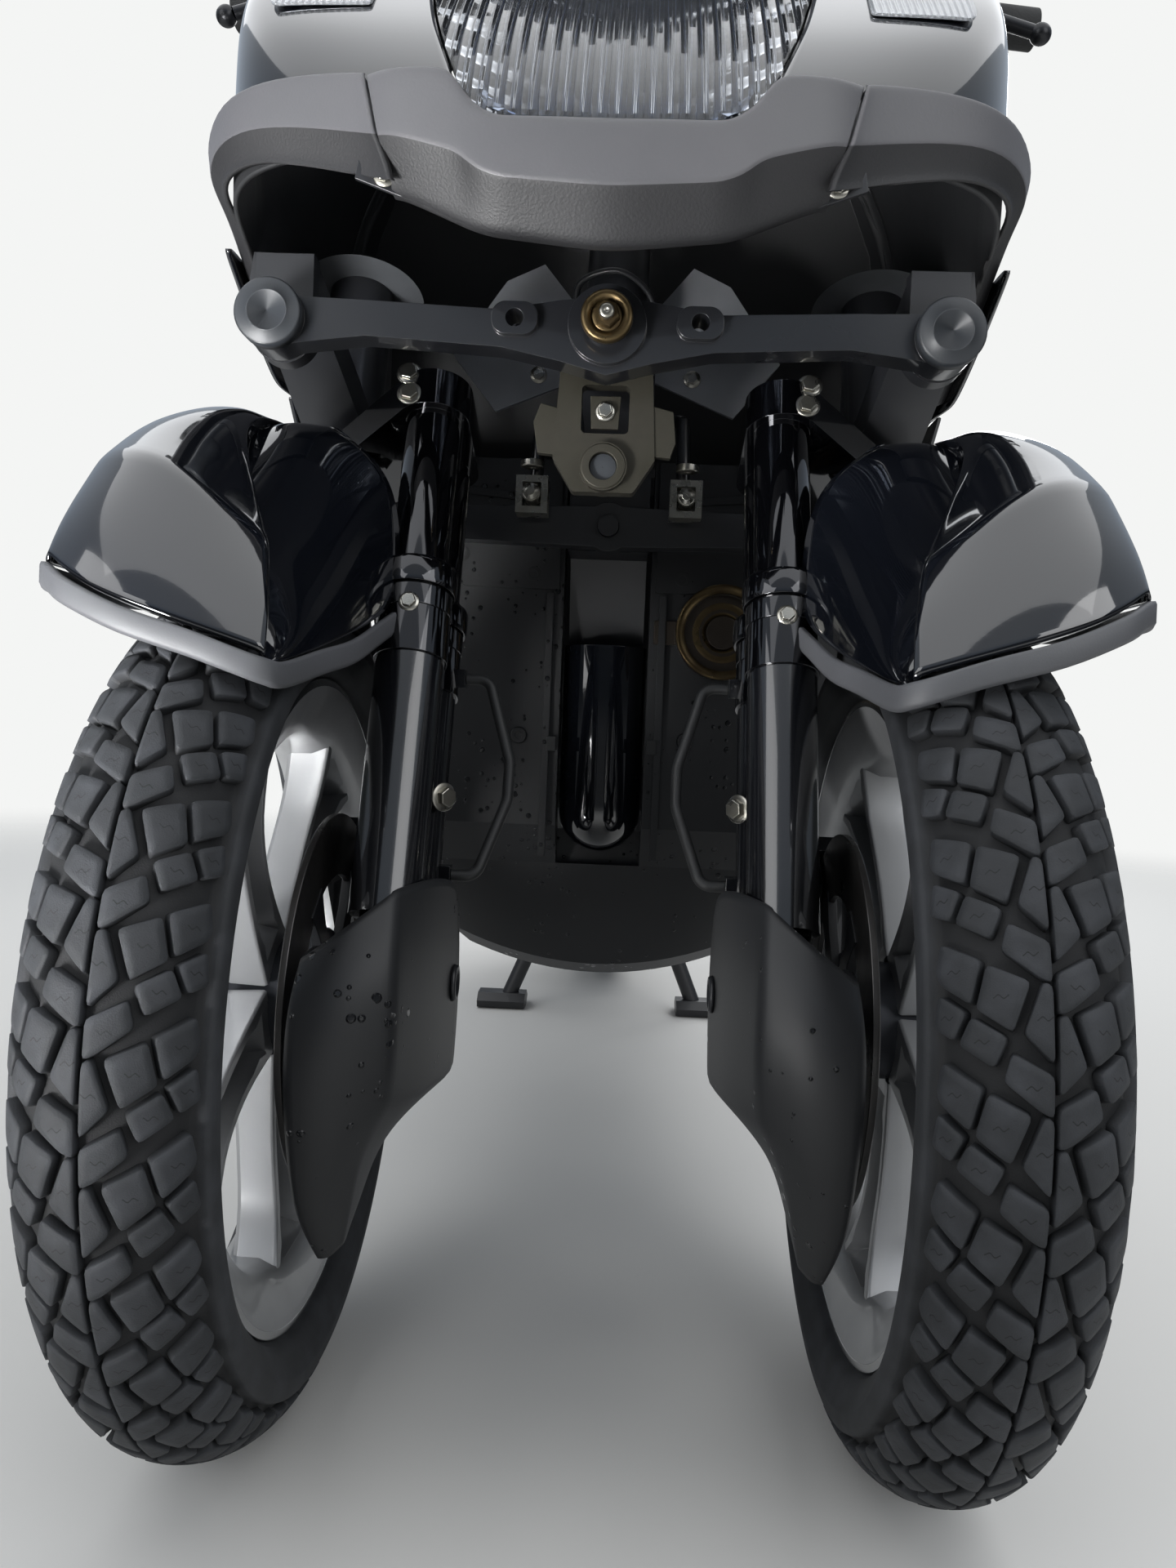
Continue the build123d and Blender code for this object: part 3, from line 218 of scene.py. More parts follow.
# A short wave of painted shade marks the slit in the middle of each block, about 6 mm long and half a millimetre
# wide.
phase = add(tree, "ShaderNodeMath", {"operation": "MULTIPLY"}, {0: parts.outputs["X"], 1: 1.5})
wave = add(tree, "ShaderNodeMath", {"operation": "SINE"}, {0: phase.outputs[0]})
lift = add(tree, "ShaderNodeMath", {"operation": "MULTIPLY"}, {0: wave.outputs[0], 1: 0.7})
off = add(tree, "ShaderNodeMath", {"operation": "SUBTRACT"}, {0: parts.outputs["Y"], 1: lift.outputs[0]})
near = add(tree, "ShaderNodeMath", {"operation": "ABSOLUTE"}, {0: off.outputs[0]})
thin = add(tree, "ShaderNodeMath", {"operation": "LESS_THAN"}, {0: near.outputs[0], 1: 0.32})
across = add(tree, "ShaderNodeMath", {"operation": "ABSOLUTE"}, {0: parts.outputs["X"]})
short = add(tree, "ShaderNodeMath", {"operation": "LESS_THAN"}, {0: across.outputs[0], 1: 3.1})
line = add(tree, "ShaderNodeMath", {"operation": "MULTIPLY"}, {0: thin.outputs[0], 1: short.outputs[0]})
slit_shade = add(tree, "ShaderNodeMath", {"operation": "MULTIPLY"}, {0: line.outputs[0], 1: parts.outputs["Z"]})
# The slit's line is painted shade, near black.
with_slit_shade = add(tree, "ShaderNodeMix", {"data_type": "RGBA"}, {
    "Factor": slit_shade.outputs[0], "A": groove_shade.outputs["Result"], "B": linear("#0d0e0f")})
bumps = add(tree, "ShaderNodeBump", inputs={"Height": grit.outputs["Fac"], "Strength": 0.35, "Distance": 0.0004})
shade = add(tree, "ShaderNodeBsdfPrincipled", inputs={
    "Base Color": with_slit_shade.outputs["Result"], "Roughness": 0.72, "IOR": 1.45, "Normal": bumps.outputs[0]})
tree.links.new(shade.outputs[0], out.inputs["Surface"])


def crown_point(radius, width, arc, depth):
    """(across, radius) at an arc length from the tread's middle, depth below its face."""
    half, drop = width / 2, width * CROWN_SHARE
    bend = (half * half + drop * drop) / (2 * drop)
    angle = arc / bend
    return (bend - depth) * math.sin(angle), radius - bend + (bend - depth) * math.cos(angle)


BLOCKS = [
    # one pitch of the tread's left half, in mm: arc length out from the middle, and place along it
    [(1.0, -3.2), (17.1, 4.8), (20.5, -6.6), (6.2, -17.2), (1.0, -19.4)],
    [(1.0, -20.2), (4.6, -18.8), (12.6, -39.4), (1.0, -50.6)],
    [(9.3, -19.0), (26.2, -12.0), (31.3, -30.4), (16.7, -39.2)],
    [(18.6, -41.3), (33.2, -33.5), (39.0, -45.6), (24.0, -53.8)],
    [(28.4, -10.4), (46.8, -1.9), (50.0, -15.0), (47.5, -20.3), (33.2, -28.8)],
    [(35.2, -32.0), (48.6, -24.6), (51.4, -39.8), (41.0, -44.2)],
]


def round_corners(outline, soft, steps=2):
    """The outline with each corner turned into a short arc and long sides cut into short ones."""
    ring = []
    for i, corner in enumerate(outline):
        before, after = Vector(outline[i - 1]), Vector(outline[(i + 1) % len(outline)])
        corner = Vector(corner)
        a = corner + (before - corner).normalized() * min(soft, (before - corner).length * 0.4)
        b = corner + (after - corner).normalized() * min(soft, (after - corner).length * 0.4)
        for k in range(steps + 1):
            t = k / steps
            ring.append(a.lerp(corner, t).lerp(corner.lerp(b, t), t))
    filled = []
    for i, point in enumerate(ring):
        after = ring[(i + 1) % len(ring)]
        pieces = max(1, round((after - point).length / SEGMENT))
        filled += [point.lerp(after, k / pieces) for k in range(pieces)]
    return filled


def rubber_mesh(name, points, faces, spots):
    """A smooth rubber mesh with each point's spot: its place on the block in mm and 1 on the top."""
    mesh = bpy.data.meshes.new(name)
    mesh.from_pydata(points, [], faces)
    mesh.attributes.new("spot", "FLOAT_VECTOR", "POINT").data.foreach_set("vector", spots)
    for face in mesh.polygons:
        face.use_smooth = True
    mesh.materials.append(rubber)
    return mesh


def tread_pitch(radius, width, pitch, pitches, scale):
    """The blocks of one pitch on both sides, about the wheel's own axle, with each one's spot in mm."""
    points, faces, spots = [], [], []
    for side in (1, -1):
        for block in BLOCKS:
            ring = round_corners([(arc * scale, along / BASE_PITCH * pitch) for arc, along in block], 2.4)
            if side < 0:
                ring = [Vector((p.x, p.y + SIDE_SHIFT * pitch)) for p in ring]
            middle = sum(ring, Vector((0, 0))) / len(ring)
            # Size of the outline, depth under the face and whether it is top: foot, edge, face, inner face.
            levels = [(1.05, TREAD_DEPTH, 0), (1.0, 0.0007, 1), (0.955, 0.0, 1), (0.55, 0.0, 1)]
            start = len(points)
            for share, depth, top in levels:
                for p in ring:
                    spread = middle + (p - middle) * share
                    x, r = crown_point(radius, width, max(spread.x, 0.2) / 1000, depth)
                    angle = spread.y / pitch * 2 * math.pi / pitches
                    points.append((side * x, -r * math.cos(angle), r * math.sin(angle)))
                    spots.append(((spread.x - middle.x), (spread.y - middle.y), top))
            x, r = crown_point(radius, width, middle.x / 1000, 0)
            angle = middle.y / pitch * 2 * math.pi / pitches
            points.append((side * x, -r * math.cos(angle), r * math.sin(angle)))
            spots.append((0, 0, 1))
            n = len(ring)
            for level in range(len(levels) - 1):
                for i in range(n):
                    a, b = start + level * n + i, start + level * n + (i + 1) % n
                    faces.append((a, b, b + n, a + n) if side > 0 else (b, a, a + n, b + n))
            last = start + (len(levels) - 1) * n
            for i in range(n):
                trio = (last + i, last + (i + 1) % n, len(points) - 1)
                faces.append(trio if side > 0 else trio[::-1])
    return rubber_mesh("tread", points, faces, [c for s in spots for c in s])


ring_tree = bpy.data.node_groups.new("tread round the wheel", "GeometryNodeTree")
ring_tree.interface.new_socket("Geometry", in_out="INPUT", socket_type="NodeSocketGeometry")
ring_tree.interface.new_socket("Pitches", in_out="INPUT", socket_type="NodeSocketInt")
ring_tree.interface.new_socket("Rubber", in_out="INPUT", socket_type="NodeSocketMaterial")
ring_tree.interface.new_socket("Geometry", in_out="OUTPUT", socket_type="NodeSocketGeometry")
given = add(ring_tree, "NodeGroupInput")
made = add(ring_tree, "NodeGroupOutput")
row = add(ring_tree, "GeometryNodeMeshLine", inputs={"Count": given.outputs["Pitches"], "Offset": (0, 0, 0)})
turn = add(ring_tree, "ShaderNodeMath", {"operation": "DIVIDE"}, {0: 2 * math.pi, 1: given.outputs["Pitches"]})
angle = add(ring_tree, "ShaderNodeMath", {"operation": "MULTIPLY"},
            {0: turn.outputs[0], 1: add(ring_tree, "GeometryNodeInputIndex").outputs[0]})
spin = add(ring_tree, "ShaderNodeCombineXYZ", inputs={"X": angle.outputs[0]})
copies = add(ring_tree, "GeometryNodeInstanceOnPoints", inputs={
    "Points": row.outputs[0], "Instance": given.outputs["Geometry"], "Rotation": spin.outputs[0]})
real = add(ring_tree, "GeometryNodeRealizeInstances", inputs={"Geometry": copies.outputs[0]})
set_rubber = add(ring_tree, "GeometryNodeSetMaterial", inputs={
    "Geometry": real.outputs[0], "Material": given.outputs["Rubber"]})
ring_tree.links.new(set_rubber.outputs[0], made.inputs[0])


def applied(piece, tree, values):
    """The piece's mesh after a Geometry Nodes tree with these input values."""
    step = piece.modifiers.new("made", "NODES")
    step.node_group = tree
    for item in tree.interface.items_tree:
        if item.in_out == "INPUT" and item.name in values:
            step[item.identifier] = values[item.name]
    bpy.context.view_layer.update()
    mesh = bpy.data.meshes.new_from_object(piece.evaluated_get(bpy.context.evaluated_depsgraph_get()))
    piece.modifiers.clear()
    return mesh


def turned_ring(profile, steps):
    """Points and faces of a closed (across, radius) profile turned about the wheel's axle."""
    n = len(profile)
    points = [(x, -r * math.cos(2 * math.pi * k / steps), r * math.sin(2 * math.pi * k / steps))
              for k in range(steps) for x, r in profile]
    starts = [(k * n, (k + 1) % steps * n) for k in range(steps)]
    faces = [(a + i, a + (i + 1) % n, b + (i + 1) % n, b + i) for a, b in starts for i in range(n)]
    return points, faces


@contextmanager
def reshaping(mesh):
    """The mesh opened for changes, which are written back when they are made."""
    shape = bmesh.new()
    shape.from_mesh(mesh)
    yield shape
    shape.to_mesh(mesh)
    shape.free()


def facing_out(mesh):
    """Merges the mesh's doubles and turns its faces outward."""
    with reshaping(mesh) as shape:
        bmesh.ops.remove_doubles(shape, verts=shape.verts, dist=1e-6)
        bmesh.ops.recalc_face_normals(shape, faces=shape.faces)


def keep(piece, body, slot, *nodes):
    """The piece rides on the body and stands for the CAD nodes, which it hides; slot is not used."""
    if nodes:
        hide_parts(*nodes)
    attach(piece, body)
    return piece


HALF_TRACK, WHEELBASE = 0.1925, 1.31
FRONT_AXLE_Z, REAR_AXLE_Z = 0.25, 0.2645
AXLES = {"left": (HALF_TRACK, AXLE_Y, FRONT_AXLE_Z), "right": (-HALF_TRACK, AXLE_Y, FRONT_AXLE_Z),
         "rear": (0, AXLE_Y + WHEELBASE, REAR_AXLE_Z)}
FRONT_WIDTH, FRONT_BEAD = 0.09, 0.1778
REAR_WIDTH, REAR_BEAD = 0.11, 0.1524
PITCHES = 30
TYRES = [
    # node, body, axle, radius, width, bead radius, turn about the axle
    ("front_tyre_left", "front_wheel_left", AXLES["left"], 0.25, FRONT_WIDTH, FRONT_BEAD, 0.30),
    ("front_tyre_right", "front_wheel_right", AXLES["right"], 0.25, FRONT_WIDTH, FRONT_BEAD, 0.65),
    ("rear_tyre", "rear_wheel", AXLES["rear"], 0.2515, REAR_WIDTH, REAR_BEAD, 0.0),
]
SKIRT = [(54.6, 0.0018), (56.2, 0.0002), (59.0, 0.0), (61.4, 0.0002)]  # arc in mm, depth in m
SIDE_WALL = [(0.99, 0.84), (0.985, 0.80), (0.93, 0.74), (0.86, 0.58), (0.80, 0.52), (0.66, 0.32), (0.48, 0.14)]
for node, body, axle, radius, width, bead, phase in TYRES:
    scale = width / BASE_WIDTH
    pitch = 2 * math.pi * radius * 1000 / PITCHES
    tread = placed("tread", tread_pitch(radius, width, pitch, PITCHES, scale))
    blocks = applied(tread, ring_tree, {"Pitches": PITCHES, "Rubber": rubber})
    bpy.data.objects.remove(tread)
    lip, seat = bead + RIM_LIP, width * 0.3
    edge = TREAD_EDGE * scale / 1000
    floor_line = [crown_point(radius, width, edge * k / 12, TREAD_DEPTH) for k in range(-12, 13)]
    wall = [crown_point(radius, width, arc * scale / 1000, depth) for arc, depth in SKIRT]
    wall += [(seat + (width / 2 - seat) * w, lip + (radius - width * CROWN_SHARE - lip) * h) for w, h in SIDE_WALL]
    wall += [(seat + 0.0062, lip + 0.0026), (seat + 0.0045, lip + 0.0014), (seat + 0.0026, lip + 0.0006),
             (seat, lip - 0.006), (seat, bead)]
    profile = floor_line + wall + [(-x, r) for x, r in reversed(wall)]
    points, faces = turned_ring(profile, 144)
    # The carcass has no painted slit line; its grooves' floor takes the full painted groove shade and its walls a
    # quarter of it.
    spots = [c for k in range(len(points)) for c in (20.0, 0.0, 0.0 if k % len(profile) < len(floor_line) else 0.75)]
    carcass = rubber_mesh("carcass", points, faces, spots)
    facing_out(carcass)
    both = bmesh.new()
    both.from_mesh(carcass)
    both.from_mesh(blocks)
    tyre_mesh = bpy.data.meshes.new(node + "_rubber")
    both.to_mesh(tyre_mesh)
    both.free()
    tyre_mesh.materials.append(rubber)
    tyre_mesh.transform(Matrix.Translation(Vector(axle)) @ Matrix.Rotation(phase, 4, "X"))
    keep(placed(node + "_rubber", tyre_mesh), body, "tyre", node)

# The rims and discs: aluminium cast in one piece with five spokes, hollowed on the inner side, is
# painted silver with its flanges turned bright, and a steel disc is screwed to each on a carrier.
SPOKES = 5
SPOKE_STEPS = 12
BORE = 0.0103


def at(x, y, z):
    """A place in metres from millimetres about the ground point under the front axle."""
    return (x / 1000, AXLE_Y + y / 1000, z / 1000)


def finish(name, base, rough, metallic=0.0, coat=0.0, grain=0.6, depth=0.00003, vary=0.12, light=None, broad=9.0):
    """A finish with a grain in mm, its depth in m, and broad patches, so many to the metre, that are
    rougher by the share vary and take the second colour, light."""
    material, tree, out, place = blank(name)
    patches = add(tree, "ShaderNodeTexNoise", inputs={"Vector": place, "Scale": broad, "Detail": 5.0})
    share = add(tree, "ShaderNodeMapRange", inputs={
        "Value": patches.outputs["Fac"], "From Min": 0.35, "From Max": 0.7, "To Max": 1.0})
    rougher = add(tree, "ShaderNodeMapRange", inputs={
        "Value": share.outputs[0], "To Min": rough * (1 - vary), "To Max": min(1.0, rough * (1 + vary))})
    fine = add(tree, "ShaderNodeTexNoise", inputs={"Vector": place, "Scale": 1000.0 / grain, "Detail": 2.0})
    bumps = add(tree, "ShaderNodeBump", inputs={"Height": fine.outputs["Fac"], "Strength": 0.5, "Distance": depth})
    shade = add(tree, "ShaderNodeBsdfPrincipled", inputs={
        "Base Color": linear(base), "Roughness": rougher.outputs[0], "Metallic": metallic,
        "Coat Weight": coat, "Coat Roughness": 0.03, "Normal": bumps.outputs[0]})
    if light:
        tone = add(tree, "ShaderNodeMix", {"data_type": "RGBA"}, {
            "Factor": share.outputs[0], "A": linear(base), "B": linear(light)})
        tree.links.new(tone.outputs["Result"], shade.inputs["Base Color"])
    tree.links.new(shade.outputs[0], out.inputs["Surface"])
    return material


def join(name, material_list, parts):
    """One mesh object from several (points, faces, material index, smooth) parts."""
    points, faces, marks, smooths = [], [], [], []
    for part_points, part_faces, mark, smooth in parts:
        start = len(points)
        points += [tuple(p) for p in part_points]
        faces += [tuple(start + i for i in face) for face in part_faces]
        marks += [mark] * len(part_faces)
        smooths += [smooth] * len(part_faces)
    mesh = bpy.data.meshes.new(name)
    mesh.from_pydata(points, [], faces)
    for material in material_list:
        mesh.materials.append(material)
    mesh.polygons.foreach_set("material_index", marks)
    mesh.polygons.foreach_set("use_smooth", smooths)
    facing_out(mesh)
    return placed(name, mesh)


def bevelled(piece, width, angle=30):
    """Rounds the piece's edges and shades the big faces flat."""
    step = piece.modifiers.new("edges", "BEVEL")
    step.width, step.segments = width, 2
    step.limit_method, step.angle_limit = "ANGLE", math.radians(angle)
    step.miter_outer = "MITER_ARC"
    for face in piece.data.polygons:
        face.use_smooth = True
    piece.modifiers.new("normals", "WEIGHTED_NORMAL").keep_sharp = True
    return piece


# Flake paint under a thin clear coat: a soft silver sheen with cloudy patches of brake dust.
cast_silver = finish("silver painted cast aluminium", "#9a9b9d", 0.36, metallic=0.55, coat=0.3, grain=0.5,
                     depth=0.00002, vary=0.15, light="#8b8c8d")
# Bare turned metal: a thin bright ring that catches the lamps.
bright_flange = finish("turned aluminium flange", "#c9cacb", 0.2, metallic=1.0, grain=0.4, depth=0.00001)
# Anodised aluminium: a dark grey, half metallic and even.
dark_hub = finish("grey anodised hub", "#3d3f44", 0.4, metallic=0.6)
# Ground steel that the pads have swept: grey with darker stains.
disc_steel = finish("brake disc steel", "#5b5a59", 0.34, metallic=0.9, grain=0.5, depth=0.00002, vary=0.2,
                    light="#4a4847", broad=30.0)
# Thin paint on a casting: near black, with a dull sheen.
dark_cast = finish("black painted disc carrier", "#1c1d1f", 0.42, metallic=0.2)
WHEEL_FINISHES = [cast_silver, bright_flange, dark_hub, disc_steel, dark_cast]


def quads(levels, n, around=True):
    """The faces between levels + 1 rows of n points, joined all round or left open."""
    return [(k * n + i, k * n + (i + 1) % n, (k + 1) * n + (i + 1) % n, (k + 1) * n + i)
            for k in range(levels) for i in range(n if around else n - 1)]


def about_axle(x, w, r, angle):
    """A point x along the axle, w sideways and r out along an arm that stands at the angle."""
    return x, w * math.cos(angle) - r * math.sin(angle), w * math.sin(angle) + r * math.cos(angle)


def wheel_parts(width, bead, hub_in, hub_out, hub_r):
    """The rim's parts in its own frame, with x outward from the wheel's middle."""
    seat, lip = width * 0.3, bead + RIM_LIP
    outer = [(seat + 0.0055, lip - 0.0015), (seat + 0.0048, lip), (seat + 0.0034, lip), (seat + 0.0012, lip - 0.002),
             (seat + 0.0004, lip - 0.006), (seat + 0.0003, bead), (seat * 0.55, bead), (seat * 0.42, bead - 0.015)]
    inner = [(seat + 0.0055, bead + 0.0085), (seat + 0.0042, bead + 0.004), (seat + 0.0015, bead - 0.002),
             (seat - 0.002, bead - 0.009), (seat * 0.7, bead - 0.0185), (seat * 0.3, bead - 0.0225)]
    ring = outer + [(-x, r) for x, r in reversed(outer)]
    ring += [(-x, r) for x, r in inner] + [(x, r) for x, r in reversed(inner)]
    parts = [(*turned_ring(ring, 120), 0, True)]
    for s in (1, -1):
        edge = [(s * (seat + reach), r) for reach, r in [
            (0.0056, lip - 0.0012), (0.0052, lip + 0.0003), (0.0036, lip + 0.0002),
            (0.0050, bead + 0.0085), (0.0058, bead + 0.0088)]]
        parts.append((*turned_ring(edge, 120), 1, True))
    hub = [(hub_out, BORE), (hub_out, hub_r * 0.55), (hub_out - 0.004, hub_r * 0.7), (hub_out - 0.006, hub_r * 0.95),
           (hub_out - 0.012, hub_r), (0.004, hub_r * 0.86), (-hub_in + 0.014, hub_r * 0.86), (-hub_in + 0.008, hub_r),
           (-hub_in + 0.002, hub_r), (-hub_in, hub_r * 0.96), (-hub_in, BORE)]
    parts.append((*turned_ring(hub, 60), 2, True))
    first, last = hub_r * 0.8, bead - 0.019
    for turn in range(SPOKES):
        # Each spoke is a U beam: two ribs and a face on the outer side, wide at the rim and the hub.
        angle = 2 * math.pi * turn / SPOKES + math.pi / 2
        points = []
        for k in range(SPOKE_STEPS + 1):
            t = k / SPOKE_STEPS
            half = 0.021 - 0.0035 * math.sin(math.pi * min(1, t * 1.15)) + 0.016 * max(0, t - 0.68) ** 2 * 9
            face = 0.016 - 0.008 * t
            low = face - (0.028 - 0.004 * math.sin(math.pi * t))
            floor_x = face - 0.0075 if 2 <= k <= 11 else low + 0.0005
            inside = half - 0.0055 - (0.003 if k in (2, 11) else 0)
            section = [(low, -half), (low + 0.002, -half - 0.0012), (face - 0.003, -half), (face, -half + 0.003),
                       (face, half - 0.003), (face - 0.003, half), (low + 0.002, half + 0.0012), (low, half),
                       (low, inside), (floor_x, inside - 0.002), (floor_x, -inside + 0.002), (low, -inside)]
            points += [about_axle(x, w, first + (last - first) * t, angle) for x, w in section]
        n = len(section)
        faces = quads(SPOKE_STEPS, n) + [tuple(range(n)), tuple(SPOKE_STEPS * n + i for i in reversed(range(n)))]
        parts.append((points, faces, 0, False))
    return parts


def disc_parts(radius, x):
    """A plain disc on a five-armed carrier, x being how far inward of the wheel's middle it lies."""
    near, far = -x + 0.001, -x - 0.005
    profile = [(-x, radius), (-x - 0.004, radius), (-x - 0.004, radius * 0.66), (-x, radius * 0.66)]
    parts = [(*turned_ring(profile, 96), 3, False)]
    arm = [(-0.011, 0.016), (0.011, 0.016), (0.007, radius * 0.5), (0.012, radius * 0.72), (-0.012, radius * 0.72),
           (-0.007, radius * 0.5)]
    for turn in range(5):
        angle = 2 * math.pi * turn / 5 + 0.3
        points = [about_axle(depth, w, r, angle) for depth in (near, far) for w, r in arm]
        parts.append((points, [(0, 1, 2, 3, 4, 5), (11, 10, 9, 8, 7, 6)] + quads(1, 6), 4, False))
    parts.append((*turned_ring([(near, 0.0102), (near, 0.03), (far, 0.03), (far, 0.0102)], 48), 4, False))
    return parts


FRONT_HUB, REAR_HUB = (0.0375, 0.024, 0.04), (0.062, 0.044, 0.044)  # inner reach, outer reach, radius
WHEELS = [
    # name, side, body, width, bead, hub, disc radius, turn about the axle
    ("left", 1, "front_wheel_left", FRONT_WIDTH, FRONT_BEAD, FRONT_HUB, 0.11, 0.35),
    ("right", -1, "front_wheel_right", FRONT_WIDTH, FRONT_BEAD, FRONT_HUB, 0.11, 0.35),
    ("rear", 1, "rear_wheel", REAR_WIDTH, REAR_BEAD, REAR_HUB, 0.115, 0.1),
]
for word, side, body, width, bead, hub, disc_r, phase in WHEELS:
    for node, parts, slot, edge in [
        ("rim", wheel_parts(width, bead, *hub), "cast_silver", 0.0016),
        ("disc", disc_parts(disc_r, hub[0]), "disc_steel", 0.0006),
    ]:
        piece = bevelled(join(f"{word}_{node}_dressed", WHEEL_FINISHES, parts), edge, angle=38)
        flip = Matrix.Scale(side, 4, (1, 0, 0))
        piece.data.transform(Matrix.Translation(Vector(AXLES[word])) @ flip @ Matrix.Rotation(phase, 4, "X"))
        if side < 0:
            piece.data.flip_normals()
        keep(piece, body, slot, f"rear_{node}" if word == "rear" else f"front_{node}_{word}")

# The front fenders: gloss black painted ABS shells, injection moulded, over a set-back inner panel.
# A matte grey trim band is clipped along the lower edge, and screws hold all to the fork's stays.
SIDES = [(1, "left"), (-1, "right")]
gloss_black, tree, out, place = blank("gloss black paint")
# Lacquer over black: a near mirror with a faint orange peel 3 mm across, dulled in parts by dust.
peel = add(tree, "ShaderNodeTexNoise", inputs={"Vector": place, "Scale": 320.0, "Detail": 1.0})
dust = add(tree, "ShaderNodeTexNoise", inputs={"Vector": place, "Scale": 14.0, "Detail": 8.0, "Roughness": 0.7})
film = add(tree, "ShaderNodeMapRange", inputs={
    "Value": dust.outputs["Fac"], "From Min": 0.45, "From Max": 0.75, "To Min": 0.06, "To Max": 0.16})
bumps = add(tree, "ShaderNodeBump", inputs={"Height": peel.outputs["Fac"], "Strength": 0.06, "Distance": 0.0002})
shade = add(tree, "ShaderNodeBsdfPrincipled", inputs={
    "Base Color": linear("#0b0d12"), "Roughness": film.outputs[0], "Coat Weight": 1.0, "Coat Roughness": 0.02,
    "Normal": bumps.outputs[0], "IOR": 1.5})
tree.links.new(shade.outputs[0], out.inputs["Surface"])
# Spark-eroded moulding grain: a soft grey with no clear reflection.
matte_grey = finish("matte grey moulded plastic", "#47484b", 0.55, grain=0.9, depth=0.00012, vary=0.1,
                    light="#505155")

OUTER = [
    # stations from the front lip to the rear: x, y, z in mm from the outer side over to the inner edge
    [(263, -141, 486), (263, -141, 489), (261, -143, 492), (243, -157, 478), (215, -165, 467), (182, -166, 457),
     (150, -158, 447)],
    [(266, -124, 487), (267, -124, 500), (262, -128, 514), (240, -147, 509), (212, -153, 500), (182, -153, 488),
     (152, -146, 474)],
    [(267, -96, 487), (267, -96, 520), (257, -101, 547), (236, -118, 547), (212, -126, 542), (188, -130, 525),
     (160, -124, 503)],
    [(268, -55, 488), (266, -57, 540), (250, -62, 577), (236, -76, 572), (216, -84, 564), (196, -92, 546),
     (172, -102, 523)],
    [(268, -15, 490), (264, -18, 553), (238, -22, 591), (228, -36, 594), (216, -46, 590), (203, -54, 576),
     (190, -66, 556)],
    [(267, 30, 493), (259, 29, 552), (233, 26, 590), (224, 12, 598), (219, 2, 603), (214, -8, 603),
     (209, -20, 591)],
    [(266, 75, 498), (258, 74, 543), (232, 70, 580), (221, 62, 591), (213, 56, 597), (205, 50, 601),
     (197, 42, 605)],
    [(264, 115, 505), (260, 115, 532), (244, 113, 555), (232, 113, 574), (214, 114, 579), (196, 112, 580),
     (178, 108, 577)],
    [(261, 148, 513), (260, 148, 519), (256, 147, 524), (240, 149, 530), (216, 152, 533), (192, 151, 533),
     (168, 148, 531)],
]
INNER = [
    # stations along the inner panel: from under the outer shell to the panel's inner edge
    [(153, -152, 447), (150, -150, 444), (147, -146, 442)],
    [(158, -134, 473), (144, -108, 466), (131, -70, 462)],
    [(166, -114, 501), (142, -74, 490), (119, 0, 486)],
    [(178, -94, 519), (147, -52, 518), (120, 9, 520)],
    [(196, -58, 553), (158, -30, 552), (125, 10, 560)],
    [(214, -10, 592), (178, -10, 584), (144, 4, 581)],
    [(214, 10, 601), (194, 8, 598), (172, 14, 597)],
    [(200, 44, 603), (186, 46, 602), (170, 50, 598)],
]
WALL = [
    # stations along the wall beside the fork: from the shell down to the stay
    [(172, 14, 597), (152, 16, 590), (139, 20, 560), (137, 22, 500)],
    [(170, 50, 598), (152, 52, 590), (139, 56, 556), (138, 58, 499)],
    [(180, 106, 576), (156, 108, 570), (139, 110, 545), (138, 112, 505)],
    [(168, 146, 531), (152, 148, 529), (140, 150, 522), (138, 150, 512)],
]


def along(table, x):
    """The value at x of a table of (x, value) points."""
    for (x0, v0), (x1, v1) in zip(table, table[1:]):
        if x <= x1:
            return v0 + (v1 - v0) * (x - x0) / (x1 - x0)
    return table[-1][1]


def patch(rows, side):
    """Points and faces of a grid of control points, mirrored for the vehicle's right."""
    points = [at(side * x, y, z) for row in rows for x, y, z in row]
    return points, quads(len(rows) - 1, len(rows[0]), around=False)


def shell(name, rows, side, material, wall, creases=(), levels=3):
    """A smooth thin shell through a grid, with the named rows or columns kept as creases."""
    piece = mesh_piece(name, *patch(rows, side), material)
    with reshaping(piece.data) as shape:
        bmesh.ops.recalc_face_normals(shape, faces=shape.faces)
        middle = sum((v.co for v in shape.verts), Vector()) / len(shape.verts)
        if sum(f.normal.dot(f.calc_center_median() - middle) for f in shape.faces) < 0:
            bmesh.ops.reverse_faces(shape, faces=shape.faces)
        layer = shape.edges.layers.float.new("crease_edge")
        shape.verts.ensure_lookup_table()
        for kind, index, sharpness in creases:
            for edge in shape.edges:
                ends = [divmod(v.index, len(rows[0]))[kind == "column"] for v in edge.verts]
                if ends == [index, index]:
                    edge[layer] = sharpness
    smooth = piece.modifiers.new("smooth", "SUBSURF")
    smooth.levels = smooth.render_levels = levels
    thick = piece.modifiers.new("wall", "SOLIDIFY")
    thick.thickness, thick.offset, thick.use_even_offset = wall, -1, True
    return piece


